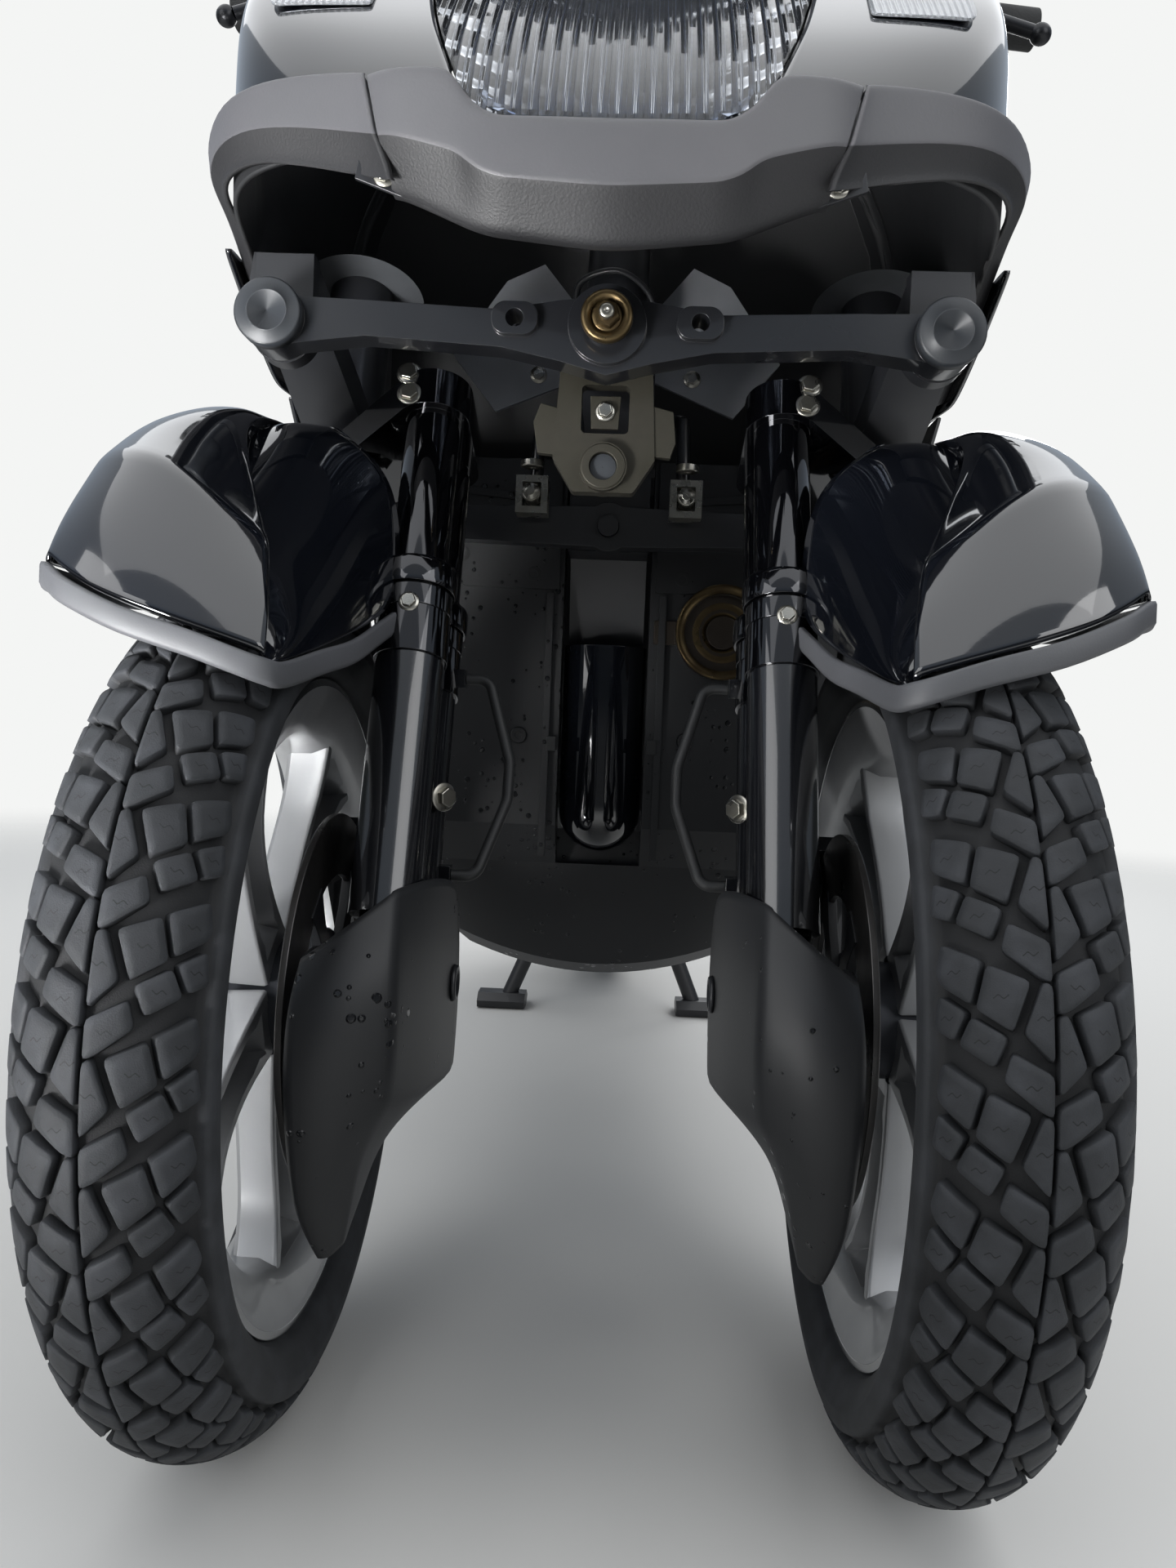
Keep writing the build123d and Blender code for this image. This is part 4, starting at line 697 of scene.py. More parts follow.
def band(name, path, height, thick, material, outward):
    """A trim band that hangs from a path, height tall, its face standing out from it."""
    points = []
    up = Vector((0, 0, 1))
    # Height and reach of the band's section, as shares of its height and its thickness.
    section = [(0.0, 0.0), (0.0, 1.0), (-0.12, 1.25), (-0.8, 1.3), (-1.0, 0.9), (-1.0, 0.1), (-0.85, -0.2)]
    n, last = len(section), len(path) - 1
    for k, p in enumerate(path):
        onward = (Vector(path[min(k + 1, last)]) - Vector(path[max(k - 1, 0)])).normalized()
        out_way = onward.cross(up).normalized() * outward
        points += [Vector(p) + up * drop * height + out_way * reach * thick for drop, reach in section]
    faces = quads(last, n) + [tuple(range(n)), tuple(last * n + i for i in reversed(range(n)))]
    piece = mesh_piece(name, points, faces, material)
    facing_out(piece.data)
    return piece


def smooth_line(points, steps=6):
    """A line through the points with round turns."""
    line = []
    for k in range(len(points) - 1):
        p = [Vector(points[max(0, min(len(points) - 1, k + j))]) for j in (-1, 0, 1, 2)]
        for s in range(steps):
            t = s / steps
            line.append(0.5 * (2 * p[1] + (p[2] - p[0]) * t + (2 * p[0] - 5 * p[1] + 4 * p[2] - p[3]) * t * t
                               + (3 * p[1] - p[0] - 3 * p[2] + p[3]) * t ** 3))
    return line + [Vector(points[-1])]


def set_back(point):
    """The place 3 mm out, 9 mm behind and 7 mm under a point, where the two panels overlap."""
    return point[0] + 3, point[1] + 9, point[2] - 7


# The shell's inner edge turns in, and the inner panel starts under it.
OUTER = [row + [set_back(row[-1])] for row in OUTER]
INNER = [[set_back(row[0])] + row[1:] for row in INNER]
LOWER_EDGE = [
    # the line that the trim band follows, from the rear round the front lip to the inner panel's edge
    (261, 148, 512), (264, 115, 504), (266, 75, 497), (268, 0, 490), (268, -60, 487), (267, -100, 486),
    (265, -128, 486), (262, -141, 487), (255, -149, 484), (243, -158, 477), (215, -166, 465), (182, -167, 455),
    (162, -165, 448), (151, -160, 444), (145, -148, 443), (138, -105, 452), (130, -70, 460), (124, -30, 474),
    (119, 0, 485),
]
for side, word in SIDES:
    for part, rows, wall, creases in [
        ("shell", OUTER, 0.0028, [("row", 2, 0.65), ("column", 6, 0.9), ("row", 0, 0.9), ("column", 2, 0.25)]),
        ("inner", INNER, 0.0025, [("column", 2, 0.9)]),
        ("wall", WALL, 0.0025, [("column", 0, 0.5)]),
    ]:
        piece = shell(f"fender_{word}_{part}", rows, side, gloss_black, wall, creases)
        keep(piece, f"fork_{word}", "gloss_black", f"fender_{word}")
    line = smooth_line([at(side * x, y, z) for x, y, z in LOWER_EDGE], 4)
    trim = band(f"fender_{word}_band", line, 0.0125, 0.0028, matte_grey, -side)
    keep(trim, f"fork_{word}", "matte_grey", f"fender_trim_{word}")

# The forks: each is an aluminium casting on two steel tubes side by side, painted gloss black, with
# chrome upper tubes coloured near black as painted shade, dust covers, zinc plated flange bolts at
# the crown and a disc caliper.
MERGE = 0.00003  # points of a CAD mesh closer than this are one
FORWARD = (0, -1, 0)
ARM_Z = 643  # the height of the upper arm's pivots, in mm
FORK_X = 111  # how far to the side the fork's tubes stand, in mm


def softened(node, width, materials, slot, angle=32, pick=None):
    """A merged copy of a CAD node with rounded edges, and a material index picked by face centre."""
    source = frame["nodes"][node]
    piece = placed(node + "_dressed", source.data.copy())
    piece.data.materials.clear()
    for material in materials:
        piece.data.materials.append(material)
    with reshaping(piece.data) as shape:
        bmesh.ops.remove_doubles(shape, verts=shape.verts, dist=MERGE)
        bmesh.ops.dissolve_degenerate(shape, edges=shape.edges, dist=MERGE)
        bmesh.ops.dissolve_limit(shape, angle_limit=math.radians(0.8), verts=shape.verts, edges=shape.edges)
        bmesh.ops.recalc_face_normals(shape, faces=shape.faces)
        for face in shape.faces:
            face.smooth = True
            face.material_index = pick(face.calc_center_median()) if pick else 0
        for edge in shape.edges:
            edge.smooth = edge.calc_face_angle(0.0) < math.radians(angle)
    if width:
        step = piece.modifiers.new("edges", "BEVEL")
        step.width, step.segments, step.limit_method = width, 2, "ANGLE"
        step.angle_limit, step.use_clamp_overlap, step.harden_normals = math.radians(angle), True, True
    return keep(piece, source["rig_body"], slot, node)


def detail(name, materials, parts, body, slot, width=0.0):
    """Fittings too small for the CAD, in one mesh that rides with the body."""
    piece = join(name, materials, parts)
    if width:
        bevelled(piece, width)
    return keep(piece, body, slot)


def turned(profile, spot, axis, mark, steps):
    """A part turned about an axis: the profile holds (height along the axis, radius) in mm."""
    points, faces = turned_ring([(h / 1000, r / 1000) for h, r in profile], steps)
    spin = Vector((1, 0, 0)).rotation_difference(Vector(axis))
    return [spin @ Vector(p) + Vector(spot) for p in points], faces, mark, True


def slab(outline, low, high, spot, mark=0, normal=FORWARD, right=(1, 0, 0)):
    """A flat plate: its outline in mm in the plane square to normal, pulled from low to high."""
    n, r = Vector(normal).normalized(), Vector(right).normalized()
    u = n.cross(r)
    points = [Vector(spot) + (r * x + u * y + n * h) / 1000 for h in (low, high) for x, y in outline]
    k = len(outline)
    return points, [tuple(reversed(range(k))), tuple(range(k, 2 * k))] + quads(1, k), mark, False


def tube(path, radius, steps, bend):
    """A round cord or rod swept along a smooth line through the places, in metres, its radius in mm."""
    line = smooth_line(path, bend)
    last = len(line) - 1
    points, across = [], None
    for k, p in enumerate(line):
        onward = (line[min(k + 1, last)] - line[max(k - 1, 0)]).normalized()
        if across is None:
            across = onward.orthogonal().normalized()
        across = (across - onward * across.dot(onward)).normalized()
        third = onward.cross(across)
        for s in range(steps):
            a = 2 * math.pi * s / steps
            points.append(p + (across * math.cos(a) + third * math.sin(a)) * radius / 1000)
    ends = [tuple(reversed(range(steps))), tuple(last * steps + s for s in range(steps))]
    return points, quads(last, steps) + ends, 0, True


def bolt(spot, axis, flat, mark, tall, flange=1.35):
    """A flanged hexagon bolt head that stands on the spot: its size across the flats and its height
    in mm, and the flange's radius as a share of the head's."""
    r = flat / math.sqrt(3)
    n = Vector(axis).normalized()
    right = n.orthogonal().normalized()
    u = n.cross(right)
    hexagon = [(r * math.cos(math.pi * k / 3), r * math.sin(math.pi * k / 3)) for k in range(6)]
    crown = [(0.9 * x, 0.9 * y) for x, y in hexagon]
    points = [Vector(spot) + (right * x + u * y + n * h) / 1000
              for h, ring in ((1.0, hexagon), (tall - 0.9, hexagon), (tall, crown)) for x, y in ring]
    faces = [tuple(reversed(range(6))), tuple(range(12, 18))] + quads(2, 6)
    washer = [(0, 0.5), (0, r * flange), (0.9, r * flange), (1.8, r * 1.02), (1.8, 0.5)]
    return [(points, faces, mark, False), turned(washer, spot, axis, mark, 28)]


RAKE = math.radians(20)
RISE = Vector((0, math.sin(RAKE), math.cos(RAKE)))
TRAIL = 68.0


def leg_point(x, ahead, rise):
    """A place on the fork's raked plane, rise mm above the upper arm's height on the steering axis."""
    y = -TRAIL + math.tan(RAKE) * ARM_Z + math.sin(RAKE) * rise + math.cos(RAKE) * ahead
    return Vector(at(x, y, ARM_Z + math.cos(RAKE) * rise - math.sin(RAKE) * ahead))


# Baked enamel on steel: black with a blurred gleam and a slight unevenness.
black_steel = finish("black painted steel", "#111215", 0.3, coat=0.5, grain=1.2, depth=0.00005, vary=0.2)
# Polished chrome tube, coloured near black as painted shade: dark, with sharp narrow reflections.
shaded_chrome = finish("chrome tube in painted shade", "#15161b", 0.07, metallic=0.85, coat=1.0, grain=2.0, depth=0.0)
# Gloss paint over a sand-cast skin: a deep black whose highlights are a little broken.
gloss_cast = finish("gloss black casting", "#0d0e11", 0.2, coat=0.9, grain=1.6, depth=0.00008, vary=0.2)
# Zinc plating that has begun to dull: silvery, with brownish grey patches.
zinc = finish("zinc plated steel", "#b3b1aa", 0.3, metallic=1.0, grain=0.5, depth=0.00001, vary=0.3,
              light="#8d8a80", broad=60.0)
# Yellow passivated plating: a dull bronze glint with darker patches.
brass = finish("yellow plated ring", "#5f5138", 0.38, metallic=0.9, grain=0.5, depth=0.00001, vary=0.3,
               light="#463a28", broad=60.0)
# Sprayed satin paint: an even black with a soft sheen.
satin_black = finish("satin black paint", "#1b1c1f", 0.42, coat=0.1, grain=0.8, depth=0.00004, vary=0.15)
# Extruded rubber: flat black.
hose_rubber = finish("hose rubber", "#161718", 0.55, depth=0.00005)


def wet(name, base, rough):
    """Moulded black plastic: a dull fine grain with a few bright drops of rain, up to 6 mm wide."""
    material, tree, out, place = blank(name)
    grain = add(tree, "ShaderNodeTexNoise", inputs={"Vector": place, "Scale": 1300.0, "Detail": 2.0})
    drops = add(tree, "ShaderNodeTexVoronoi", inputs={"Vector": place, "Scale": 170.0, "Randomness": 1.0})
    size = add(tree, "ShaderNodeSeparateColor", inputs={"Color": drops.outputs["Color"]})
    band = add(tree, "ShaderNodeTexNoise", inputs={"Vector": place, "Scale": 16.0, "Detail": 3.0})
    few = add(tree, "ShaderNodeMath", {"operation": "MULTIPLY"}, {0: size.outputs[0], 1: band.outputs["Fac"]})
    reach = add(tree, "ShaderNodeMapRange", inputs={
        "Value": few.outputs[0], "From Min": 0.33, "From Max": 0.6, "To Max": 0.5})
    left = add(tree, "ShaderNodeMath", {"operation": "SUBTRACT"}, {0: reach.outputs[0], 1: drops.outputs["Distance"]})
    dome = add(tree, "ShaderNodeMapRange", inputs={"Value": left.outputs[0], "From Min": 0.0, "From Max": 0.16})
    bead = add(tree, "ShaderNodeBump", inputs={"Height": dome.outputs[0], "Strength": 1.0, "Distance": 0.0016})
    fine = add(tree, "ShaderNodeBump", inputs={
        "Height": grain.outputs["Fac"], "Strength": 0.4, "Distance": 0.00006, "Normal": bead.outputs[0]})
    film = add(tree, "ShaderNodeMapRange", inputs={"Value": dome.outputs[0], "To Min": rough, "To Max": 0.05})
    shade = add(tree, "ShaderNodeBsdfPrincipled", inputs={
        "Base Color": linear(base), "Roughness": film.outputs[0], "IOR": 1.45, "Normal": fine.outputs[0]})
    tree.links.new(shade.outputs[0], out.inputs["Surface"])
    return material


def fork_part(c):
    """Chrome darkened by painted shade on the tubes between the crown and the lower casting, gloss black elsewhere.
    """
    return 1 if 0.505 < c.z < 0.7 and abs(abs(c.x) - FORK_X / 1000) < 0.026 else 0


wet_black = wet("moulded black plastic", "#1b1c1e", 0.5)
TUBES = (-91, -35)  # how far each tube's middle lies from the steering axis, along the raked plane
TUBE_RINGS = [
    # the dust cover's lip, its neck, and the collar below: rise on the axis, then (height, radius)
    (-189, [(-3, 18.2), (-3, 23.4), (0, 24.2), (11, 24.2), (14, 23.2), (14, 18.2)]),
    (-189, [(-17, 20), (-17, 22.0), (-4, 22.0), (-4, 20)]),
    (-236, [(0, 19), (0, 22.2), (30, 21.6), (31, 19)]),
]
CROWN_WAY = (0, -math.cos(RAKE), math.sin(RAKE))
for side, word in SIDES:
    softened(f"fork_{word}", 0.0012, [gloss_cast, shaded_chrome], "black_steel", pick=fork_part)
    parts = [turned(profile, leg_point(side * FORK_X, ahead, rise), RISE, 1, 40)
             for ahead in TUBES for rise, profile in TUBE_RINGS]
    for x, ahead, rise in [(124, -112, -63), (126, -110, -47)]:
        parts += bolt(leg_point(side * x, ahead, rise), CROWN_WAY, flat=10.5, mark=2, tall=4, flange=1.3)
    parts += bolt(leg_point(side * FORK_X, -112, -206), (0, -1, 0.3), flat=8, mark=2, tall=4)
    parts += bolt(at(side * 229, 0, 250), (side, 0, 0), flat=19, mark=2, tall=10, flange=1.3)
    parts += bolt(at(side * 90, 12, 372), (-side * 0.7, -0.7, 0), flat=11, mark=2, tall=6, flange=1.4)
    detail(f"fork_{word}_fittings", [gloss_cast, shaded_chrome, zinc], parts, f"fork_{word}", "black_steel", 0.0004)
    softened(f"lead_{word}", 0, [hose_rubber], "grip_rubber")

# The leg covers: matte black mouldings that wrap the foot of each fork, folded along a ridge
# in front, with a tail that hangs outside the caliper. A screw on the inner side holds each.
COVER = [
    # rows from the top edge to the tail's tip: outer wall, outer edge, face, ridge, inner face and edge
    [(145, -62, 296), (143, -110, 293), (118, -112, 312), (97, -92, 329), (81, -44, 331), (77, -2, 322)],
    [(145, -42, 276), (145, -131, 268), (120, -134, 280), (93, -117, 290), (80, -52, 292), (76.5, 8, 290)],
    [(145, -36, 230), (145, -131, 225), (119, -134, 236), (92, -113, 247), (80, -52, 247), (76.5, 12, 246)],
    [(145, -40, 190), (145, -118, 190), (122, -122, 200), (97, -101, 216), (83, -49, 210), (78, 8, 204)],
    [(145, -42, 160), (145, -103, 160), (130, -106, 166), (112, -92, 187), (113, -52, 180), (114, -24, 176)],
    [(145, -46, 134), (143, -80, 133), (132, -82, 138), (120, -74, 152), (121, -52, 147), (122, -34, 144)],
    [(144, -50, 116), (141, -62, 115), (135, -60, 114), (128, -56, 121), (128, -48, 121), (129, -42, 121)],
]
SCREW_HEAD = [(1.2, 0.01), (1.2, 7.5), (2.6, 8.4), (2.6, 10.2), (0, 11.2), (0, 0.01)]
for side, word in SIDES:
    cover = shell(f"leg_cover_{word}_skin", COVER, side, wet_black, 0.003,
                  [("column", 1, 0.75), ("column", 3, 0.85), ("row", 0, 0.9), ("row", 3, 0.45)])
    keep(cover, f"fork_{word}", "matte_black", f"leg_cover_{word}")
    parts = [turned(SCREW_HEAD, at(side * 77.6, -6, 262), (-side, 0, 0), 0, 36)]
    detail(f"leg_cover_{word}_screw", [satin_black], parts, f"fork_{word}", "matte_black")

# The tilting linkage: forged steel arms, painted satin black, that swing on centre pins and carry
# the side members. Plastic caps cover the end bearings, and a plated ring and nut the front one.
ARM_HALF = 190  # how far to the side the arms' outer pivots are, in mm
# Olive passivated casting: a brownish dark metal, blurred and patchy.
cast_plate = finish("olive plated casting", "#3a3830", 0.5, metallic=0.7, grain=0.7, depth=0.00008, vary=0.25,
                    light="#2f2d27", broad=40.0)
# Moulded nylon: a bluish black with a soft sheen.
soft_cap = finish("satin black bearing cap", "#25282c", 0.45, grain=0.8, depth=0.00005)
# Bare-cast cover under thin grey paint: lighter than the arms, dull and clouded.
cover_grey = finish("dark grey cast cover", "#4b4d50", 0.5, metallic=0.2, grain=0.9, depth=0.0001, vary=0.15,
                    light="#3f4144", broad=20.0)


def cover_part(c):
    """Grey on the side member's head above the arms, black below."""
    return 1 if c.z > 0.7 else 0


softened("upper_arm", 0.0022, [black_steel], "black_steel")
softened("lower_arm", 0.0015, [satin_black], "black_steel")
for side, word in SIDES:
    softened(f"side_member_{word}", 0.0015, [satin_black, cover_grey], "black_steel", pick=cover_part)
END_CAP = [(0, 0.01), (0, 10.5), (0.9, 10.8), (0.9, 11.6), (0.2, 11.8), (0, 17.6), (-1.2, 18.9), (-9.4, 18.9),
           (-9.4, 0.01)]
BEARING_RING = [(0, 9), (0, 13.6), (1.5, 14.4), (5.2, 14.4), (6.4, 13.4), (6.4, 10.6), (5.4, 10.0), (5.4, 9)]
STUD_END = [(0, 0.01), (0, 4.2), (3.4, 4.2), (4.2, 3.4), (4.2, 0.01)]
parts = [turned(END_CAP, at(side * ARM_HALF, -42.6, ARM_Z), FORWARD, 0, 48) for side in (1, -1)]
detail("arm_end_caps", [soft_cap], parts, "upper_arm", "black_steel")
parts = [turned(BEARING_RING, at(0, -44.6, ARM_Z), FORWARD, 0, 48)]
detail("front_bearing_ring", [brass], parts, "upper_arm", "black_steel")
parts = bolt(at(0, -47.6, ARM_Z), FORWARD, flat=13, mark=1, tall=7, flange=1.2)
parts.append(turned(STUD_END, at(0, -54.2, ARM_Z), FORWARD, 0, 24))
detail("front_bearing_nut", [zinc, brass], parts, "chassis", "black_steel")


def linkage_part(c):
    """The plated middle casting, the black rods above, and zinc on their joints below."""
    return 0 if abs(c.x) < 0.031 else (1 if c.z > 0.607 else 2)


softened("tilt_linkage", 0.0012, [cast_plate, black_steel, zinc], "cast_plate", pick=linkage_part)
LOBE = [(-6, -14), (6, -15), (9, -6), (7, 12), (-5, 15), (-9, 4)]
NUT_COLLAR = [(0, 3), (0, 8.5), (5, 8.5), (5, 3)]
ROD_RIVET = [(-1, 0.01), (-1, 6.5), (2.2, 6.2), (4, 3.4), (4, 0.01)]
BOSS_RIM = [(0, 8), (0, 12.6), (-1.2, 13.6), (-8, 13.6), (-8, 8)]
# The boss's bore is drawn as a dark disc of painted shade set inside its rim.
BORE_SHADE_DISC = [(0, 0.01), (0, 7.9), (-6, 7.9), (-6, 0.01)]
parts = []
for side in (1, -1):
    parts += [slab(LOBE, -3, 3, at(side * 33, -2, 592)),
              turned(NUT_COLLAR, at(side * 58, 185, 611), (0, 0, 1), 2, 24),
              turned(ROD_RIVET, at(side * 58, 180, 592), FORWARD, 2, 24)]
parts.append(slab([(-8, -10), (8, -10), (9, 9), (-9, 9)], 0, 3, at(0, -2, 603)))
parts += bolt(at(0, -5, 603), FORWARD, flat=8, mark=1, tall=5, flange=1.3)
parts += [turned(BOSS_RIM, at(0, -12.8, 570), FORWARD, 0, 36), turned(BORE_SHADE_DISC, at(0, -9, 570), FORWARD, 3, 28)]
detail("linkage_fittings", [cast_plate, zinc, zinc, soft_cap], parts, "chassis", "cast_plate", 0.0006)

# The frame: welded steel tube and plate, painted black, with two stamped grey brackets beside the
# column and a wire guide in front of it. The horn is a pressed steel drum with a bronze sheen.
# Painted sheet: a flat mid grey that stands out from the black behind it.
grey_sheet = finish("grey stamped bracket", "#7f8185", 0.5, metallic=0.2, depth=0.00005, vary=0.15, light="#686a6e")
# Metallic lacquer over pressed steel: a dark brown with a warm gleam.
horn_metal = finish("bronze painted steel", "#3b342d", 0.4, metallic=0.6, vary=0.2, light="#2c2722", broad=30.0)


def frame_part(c):
    """Grey on the two stamped brackets beside the column, black on the tubes and plates."""
    y, z = (c.y - AXLE_Y) * 1000, c.z * 1000
    return 1 if 260.5 < y < 267 and 668 < z < 795 and 29 < abs(c.x * 1000) < 134 else 0


softened("frame", 0.0012, [satin_black, grey_sheet], "black_steel", pick=frame_part)
WIRE_GUIDE = [at(-30, 246, 742), at(-30, 226, 762), at(0, 214, 768), at(26, 224, 752), at(30, 240, 724)]
STUD = [(0, 0.01), (0, 4.6), (1.6, 3.9), (1.6, 0.01)]
parts = [tube(WIRE_GUIDE, 2.6, steps=10, bend=6)]
parts += bolt(at(14, 240, 736), FORWARD, flat=12, mark=1, tall=7, flange=1.5)
parts += bolt(at(-6, 240, 762), FORWARD, flat=9, mark=1, tall=5, flange=1.4)
for side in (1, -1):
    parts += bolt(at(side * 62, 262, 702), FORWARD, flat=8, mark=1, tall=4, flange=1.5)
    parts.append(turned(STUD, at(side * 78, 262, 740), FORWARD, 0, 20))
detail("frame_fittings", [satin_black, zinc], parts, "chassis", "black_steel", 0.0004)
softened("horn", 0.0012, [horn_metal], "horn_metal")
HORN_RIM = [(0, 31.5), (0, 38.6), (3, 38.6), (3, 36.5), (1.5, 31.5)]
HORN_FACE = [(0, 14), (-1.5, 18), (0, 22), (-1.5, 26), (-3, 31.5), (-5, 31.5), (-5, 14)]
parts = [turned(HORN_RIM, at(96, 261.8, 500), FORWARD, 0, 56), turned(HORN_FACE, at(96, 267, 500), FORWARD, 0, 56)]
detail("horn_rim", [brass], parts, "chassis", "horn_metal")

# The undercover and the down tube's cover: the first is matte moulded polypropylene, held by
# push rivets to the frame, the second a gloss black half-round moulding clipped into its middle.
SLICE = 0.014  # the plate is cut into strips this wide, so that its lower end can bow
BOW, BOW_HALF = 0.03, 0.13
belly = softened("undercover", 0, [wet_black], "matte_black", angle=14)
with reshaping(belly.data) as shape:
    for k in range(-13, 14):
        everything = shape.verts[:] + shape.edges[:] + shape.faces[:]
        bmesh.ops.bisect_plane(shape, geom=everything, plane_co=(k * SLICE, 0, 0), plane_no=(1, 0, 0), dist=1e-6)
    for v in shape.verts:
        share = min(1.0, max(0.0, (0.3 - v.co.z) / 0.09))
        v.co.z += BOW * (v.co.x / BOW_HALF) ** 2 * share * (1 if v.co.y < AXLE_Y + 0.45 else 0.3)
COVER_R, COVER_Y, COVER_FOOT, ROUND_OFF = 35.6, 318, 312, 34  # radius, middle, lower end, height of its round
cover_rows = []
for z in [312.3, 313.2, 315.5, 319, 324, 331, 339, 346, 375, 420, 460, 486, 488]:
    drop = max(0.0, 1 - (z - COVER_FOOT) / ROUND_OFF)
    half = COVER_R * math.sqrt(1 - drop * drop)
    turns = [math.radians(a) for a in range(-90, 91, 15)]
    cover_rows.append([(half * math.sin(a), COVER_Y - half * math.cos(a), z) for a in turns])
tube_cover = shell("down_tube_cover_skin", cover_rows, 1, gloss_black, 0.002, levels=2)
keep(tube_cover, "chassis", "gloss_black", "down_tube_cover")
# Moulded nylon heads: small black buttons with a clear gleam.
rivet = finish("black push rivet", "#121314", 0.35, coat=0.2, grain=0.8, depth=0.00002)
RIVET_HEAD = [(-0.5, 0.01), (-0.5, 7.2), (0.6, 7.2), (1.8, 6.2), (1.8, 3.2), (1.2, 2.9), (1.2, 0.01)]
RIVETS = [(62, 545), (122, 560), (150, 430), (70, 410)]
PLATES = [
    # outline of x and z, foot of the outline's z, thickness, y, material: tray, its lip, upright rib, clip
    ([(40, 533), (118, 533), (150, 545), (168, 640), (40, 640)], 533, 2.2, 287.4, 1),
    ([(58, 604), (168, 614), (168, 620), (58, 610)], 604, 4, 286.5, 1),
    ([(44, 309), (50, 309), (50, 530), (44, 530)], 300, 5.5, 287.6, 1),
    ([(38, 398), (46, 398), (46, 410), (38, 410)], 398, 4, 283, 0),
]
parts = [turned(RIVET_HEAD, at(side * x, 286.9, z), FORWARD, 0, 28) for x, z in RIVETS for side in (1, -1)]
for side in (1, -1):
    for outline, foot, thick, y, mark in PLATES:
        parts.append(slab([(side * x, z - foot) for x, z in outline][::side], 0, thick, at(0, y, foot), mark))
detail("undercover_fittings", [rivet, wet_black], parts, "chassis", "matte_black", 0.0012)

# The floor, the knee panel and the side panels: textured black polypropylene inside, with gloss
# black outer skins, screwed together along hidden flanges.
# Polypropylene from a leather-grained mould: a soft black without reflections.
textured = finish("textured black plastic", "#1d1e20", 0.62, grain=1.1, depth=0.00016, vary=0.1)
softened("leg_shield", 0.002, [textured], "matte_black", angle=24)
softened("floorboard", 0.0018, [textured], "matte_black")
softened("side_panels", 0.0015, [gloss_black], "gloss_black", angle=40)

# The nose: a gloss black cowl over the headlight, a fluted glass lens before a bright reflector
# and its bulb, clear signal lenses, and a matte grey bumper in three overlapping pieces.
# Grained moulding, a little glossier than the trims: a warm dark grey.
bumper_grey = finish("matte grey bumper plastic", "#4a4a4d", 0.5, grain=1.6, depth=0.0002, light="#545356")
# The same plastic with a deep woven grain underneath, drawn 1.4 mm coarse to show: nearly black.
woven_grey = finish("woven grained bumper plastic", "#1a1a1c", 0.58, grain=1.4, depth=0.0004, light="#202022")
# The bumper in mm: how far forward it stands by x, and its upper and lower edge's height by x.
BAND_PLAN = [(0, -122), (60, -118), (112, -104), (136, -84), (192, -60), (228, -34), (246, 14), (252, 60),
             (253.5, 200)]


def eased(table, x, reach):
    """The table's value at x with its corners rounded over the reach to both sides."""
    return sum(along(table, min(table[-1][0], max(table[0][0], abs(x + reach * k / 3)))) for k in range(-3, 4)) / 7


TOP = [(0, 714), (58, 716), (70, 724), (82, 742), (127, 748)]
LOW = [(0, 657), (62, 665), (111, 690)]
BAND_HALF, BAND_TAPER = 127, 15  # the middle piece's half width at the top, and how much less it is below
SECTION = [
    # share of the height from the top down, and how far the face stands out in mm
    (0.0, -13), (0.0, -4), (0.035, -1.4), (0.11, -0.4), (0.34, 0.2), (0.57, 1.6), (0.61, 1.2), (0.66, -1.2),
    (0.9, -12), (0.97, -15), (1.0, -18), (1.0, -23),
]
UNDERSIDE = range(6, 11)  # the stretches of the section that face down
STATIONS = [0, 14, 28, 42, 50, 56, 61, 66, 70, 74, 78, 82, 88, 98, 110, 120, 125, 127]
rows = []
for f, outset in SECTION:
    row = []
    for x in [-v for v in STATIONS[:0:-1]] + STATIONS:
        here = x * (BAND_HALF - BAND_TAPER * f) / BAND_HALF
        top, low = eased(TOP, abs(x), 4), eased(LOW, abs(x) * LOW[-1][0] / BAND_HALF, 9)
        row.append((here, eased(BAND_PLAN, here, 10) - outset, top + (low - top) * f))
    rows.append(row)


def bumper_piece(name, rows, side, creases):
    """A piece of the bumper with the woven grain on its underside."""
    piece = shell(name, rows, side, bumper_grey, 0.003, creases, levels=2)
    piece.data.materials.append(woven_grey)
    for face in piece.data.polygons:
        face.material_index = int(face.index // (len(rows[0]) - 1) in UNDERSIDE)
    keep(piece, "chassis", "matte_grey", "bumper")


bumper_piece("bumper_middle", rows, 1, [("row", 5, 0.5), ("row", 1, 0.3), ("row", 10, 0.4)])
ARCH = [
    # stations from the seam outward and down the mouth's side: lower edge, then upper edge
    [(113.5, -104, 690), (129.5, -91, 748)], [(122, -96, 694), (136, -86, 751)], [(150, -79, 706), (160, -74, 756)],
    [(190, -61, 718), (192, -60, 759.5)], [(214, -44, 721), (222, -39, 759)], [(231, -20, 722), (243, 0, 754)],
    [(237, 10, 721), (249, 26, 750)], [(239.5, 45, 722), (252, 58, 744)], [(240.5, 80, 705), (252.7, 92, 730)],
    [(240.5, 120, 684), (253, 134, 711)], [(239, 158, 665), (253, 180, 688)], [(238, 176, 660.5), (253, 196, 677)],
]
for side, word in SIDES:
    rows = []
    for f, outset in SECTION:
        row = []
        for (lx, ly, lz), (hx, hy, hz) in ARCH:
            x, y, z = hx + (lx - hx) * f, hy + (ly - hy) * f, hz + (lz - hz) * f
            out_way = Vector((x, (y - 60) * 1.2, 0)).normalized()
            # The wings' section is flatter than the middle piece's.
            stands = max(outset, -9) * 0.5
            row.append((x + out_way.x * stands, y + out_way.y * stands, z))
        rows.append(row)
    bumper_piece(f"bumper_{word}", rows, side, [("row", 5, 0.3), ("column", 0, 0.9), ("column", 11, 0.9)])
BRACKET = [(104, 0), (132, 10), (130, 22), (102, 12)]
parts = []
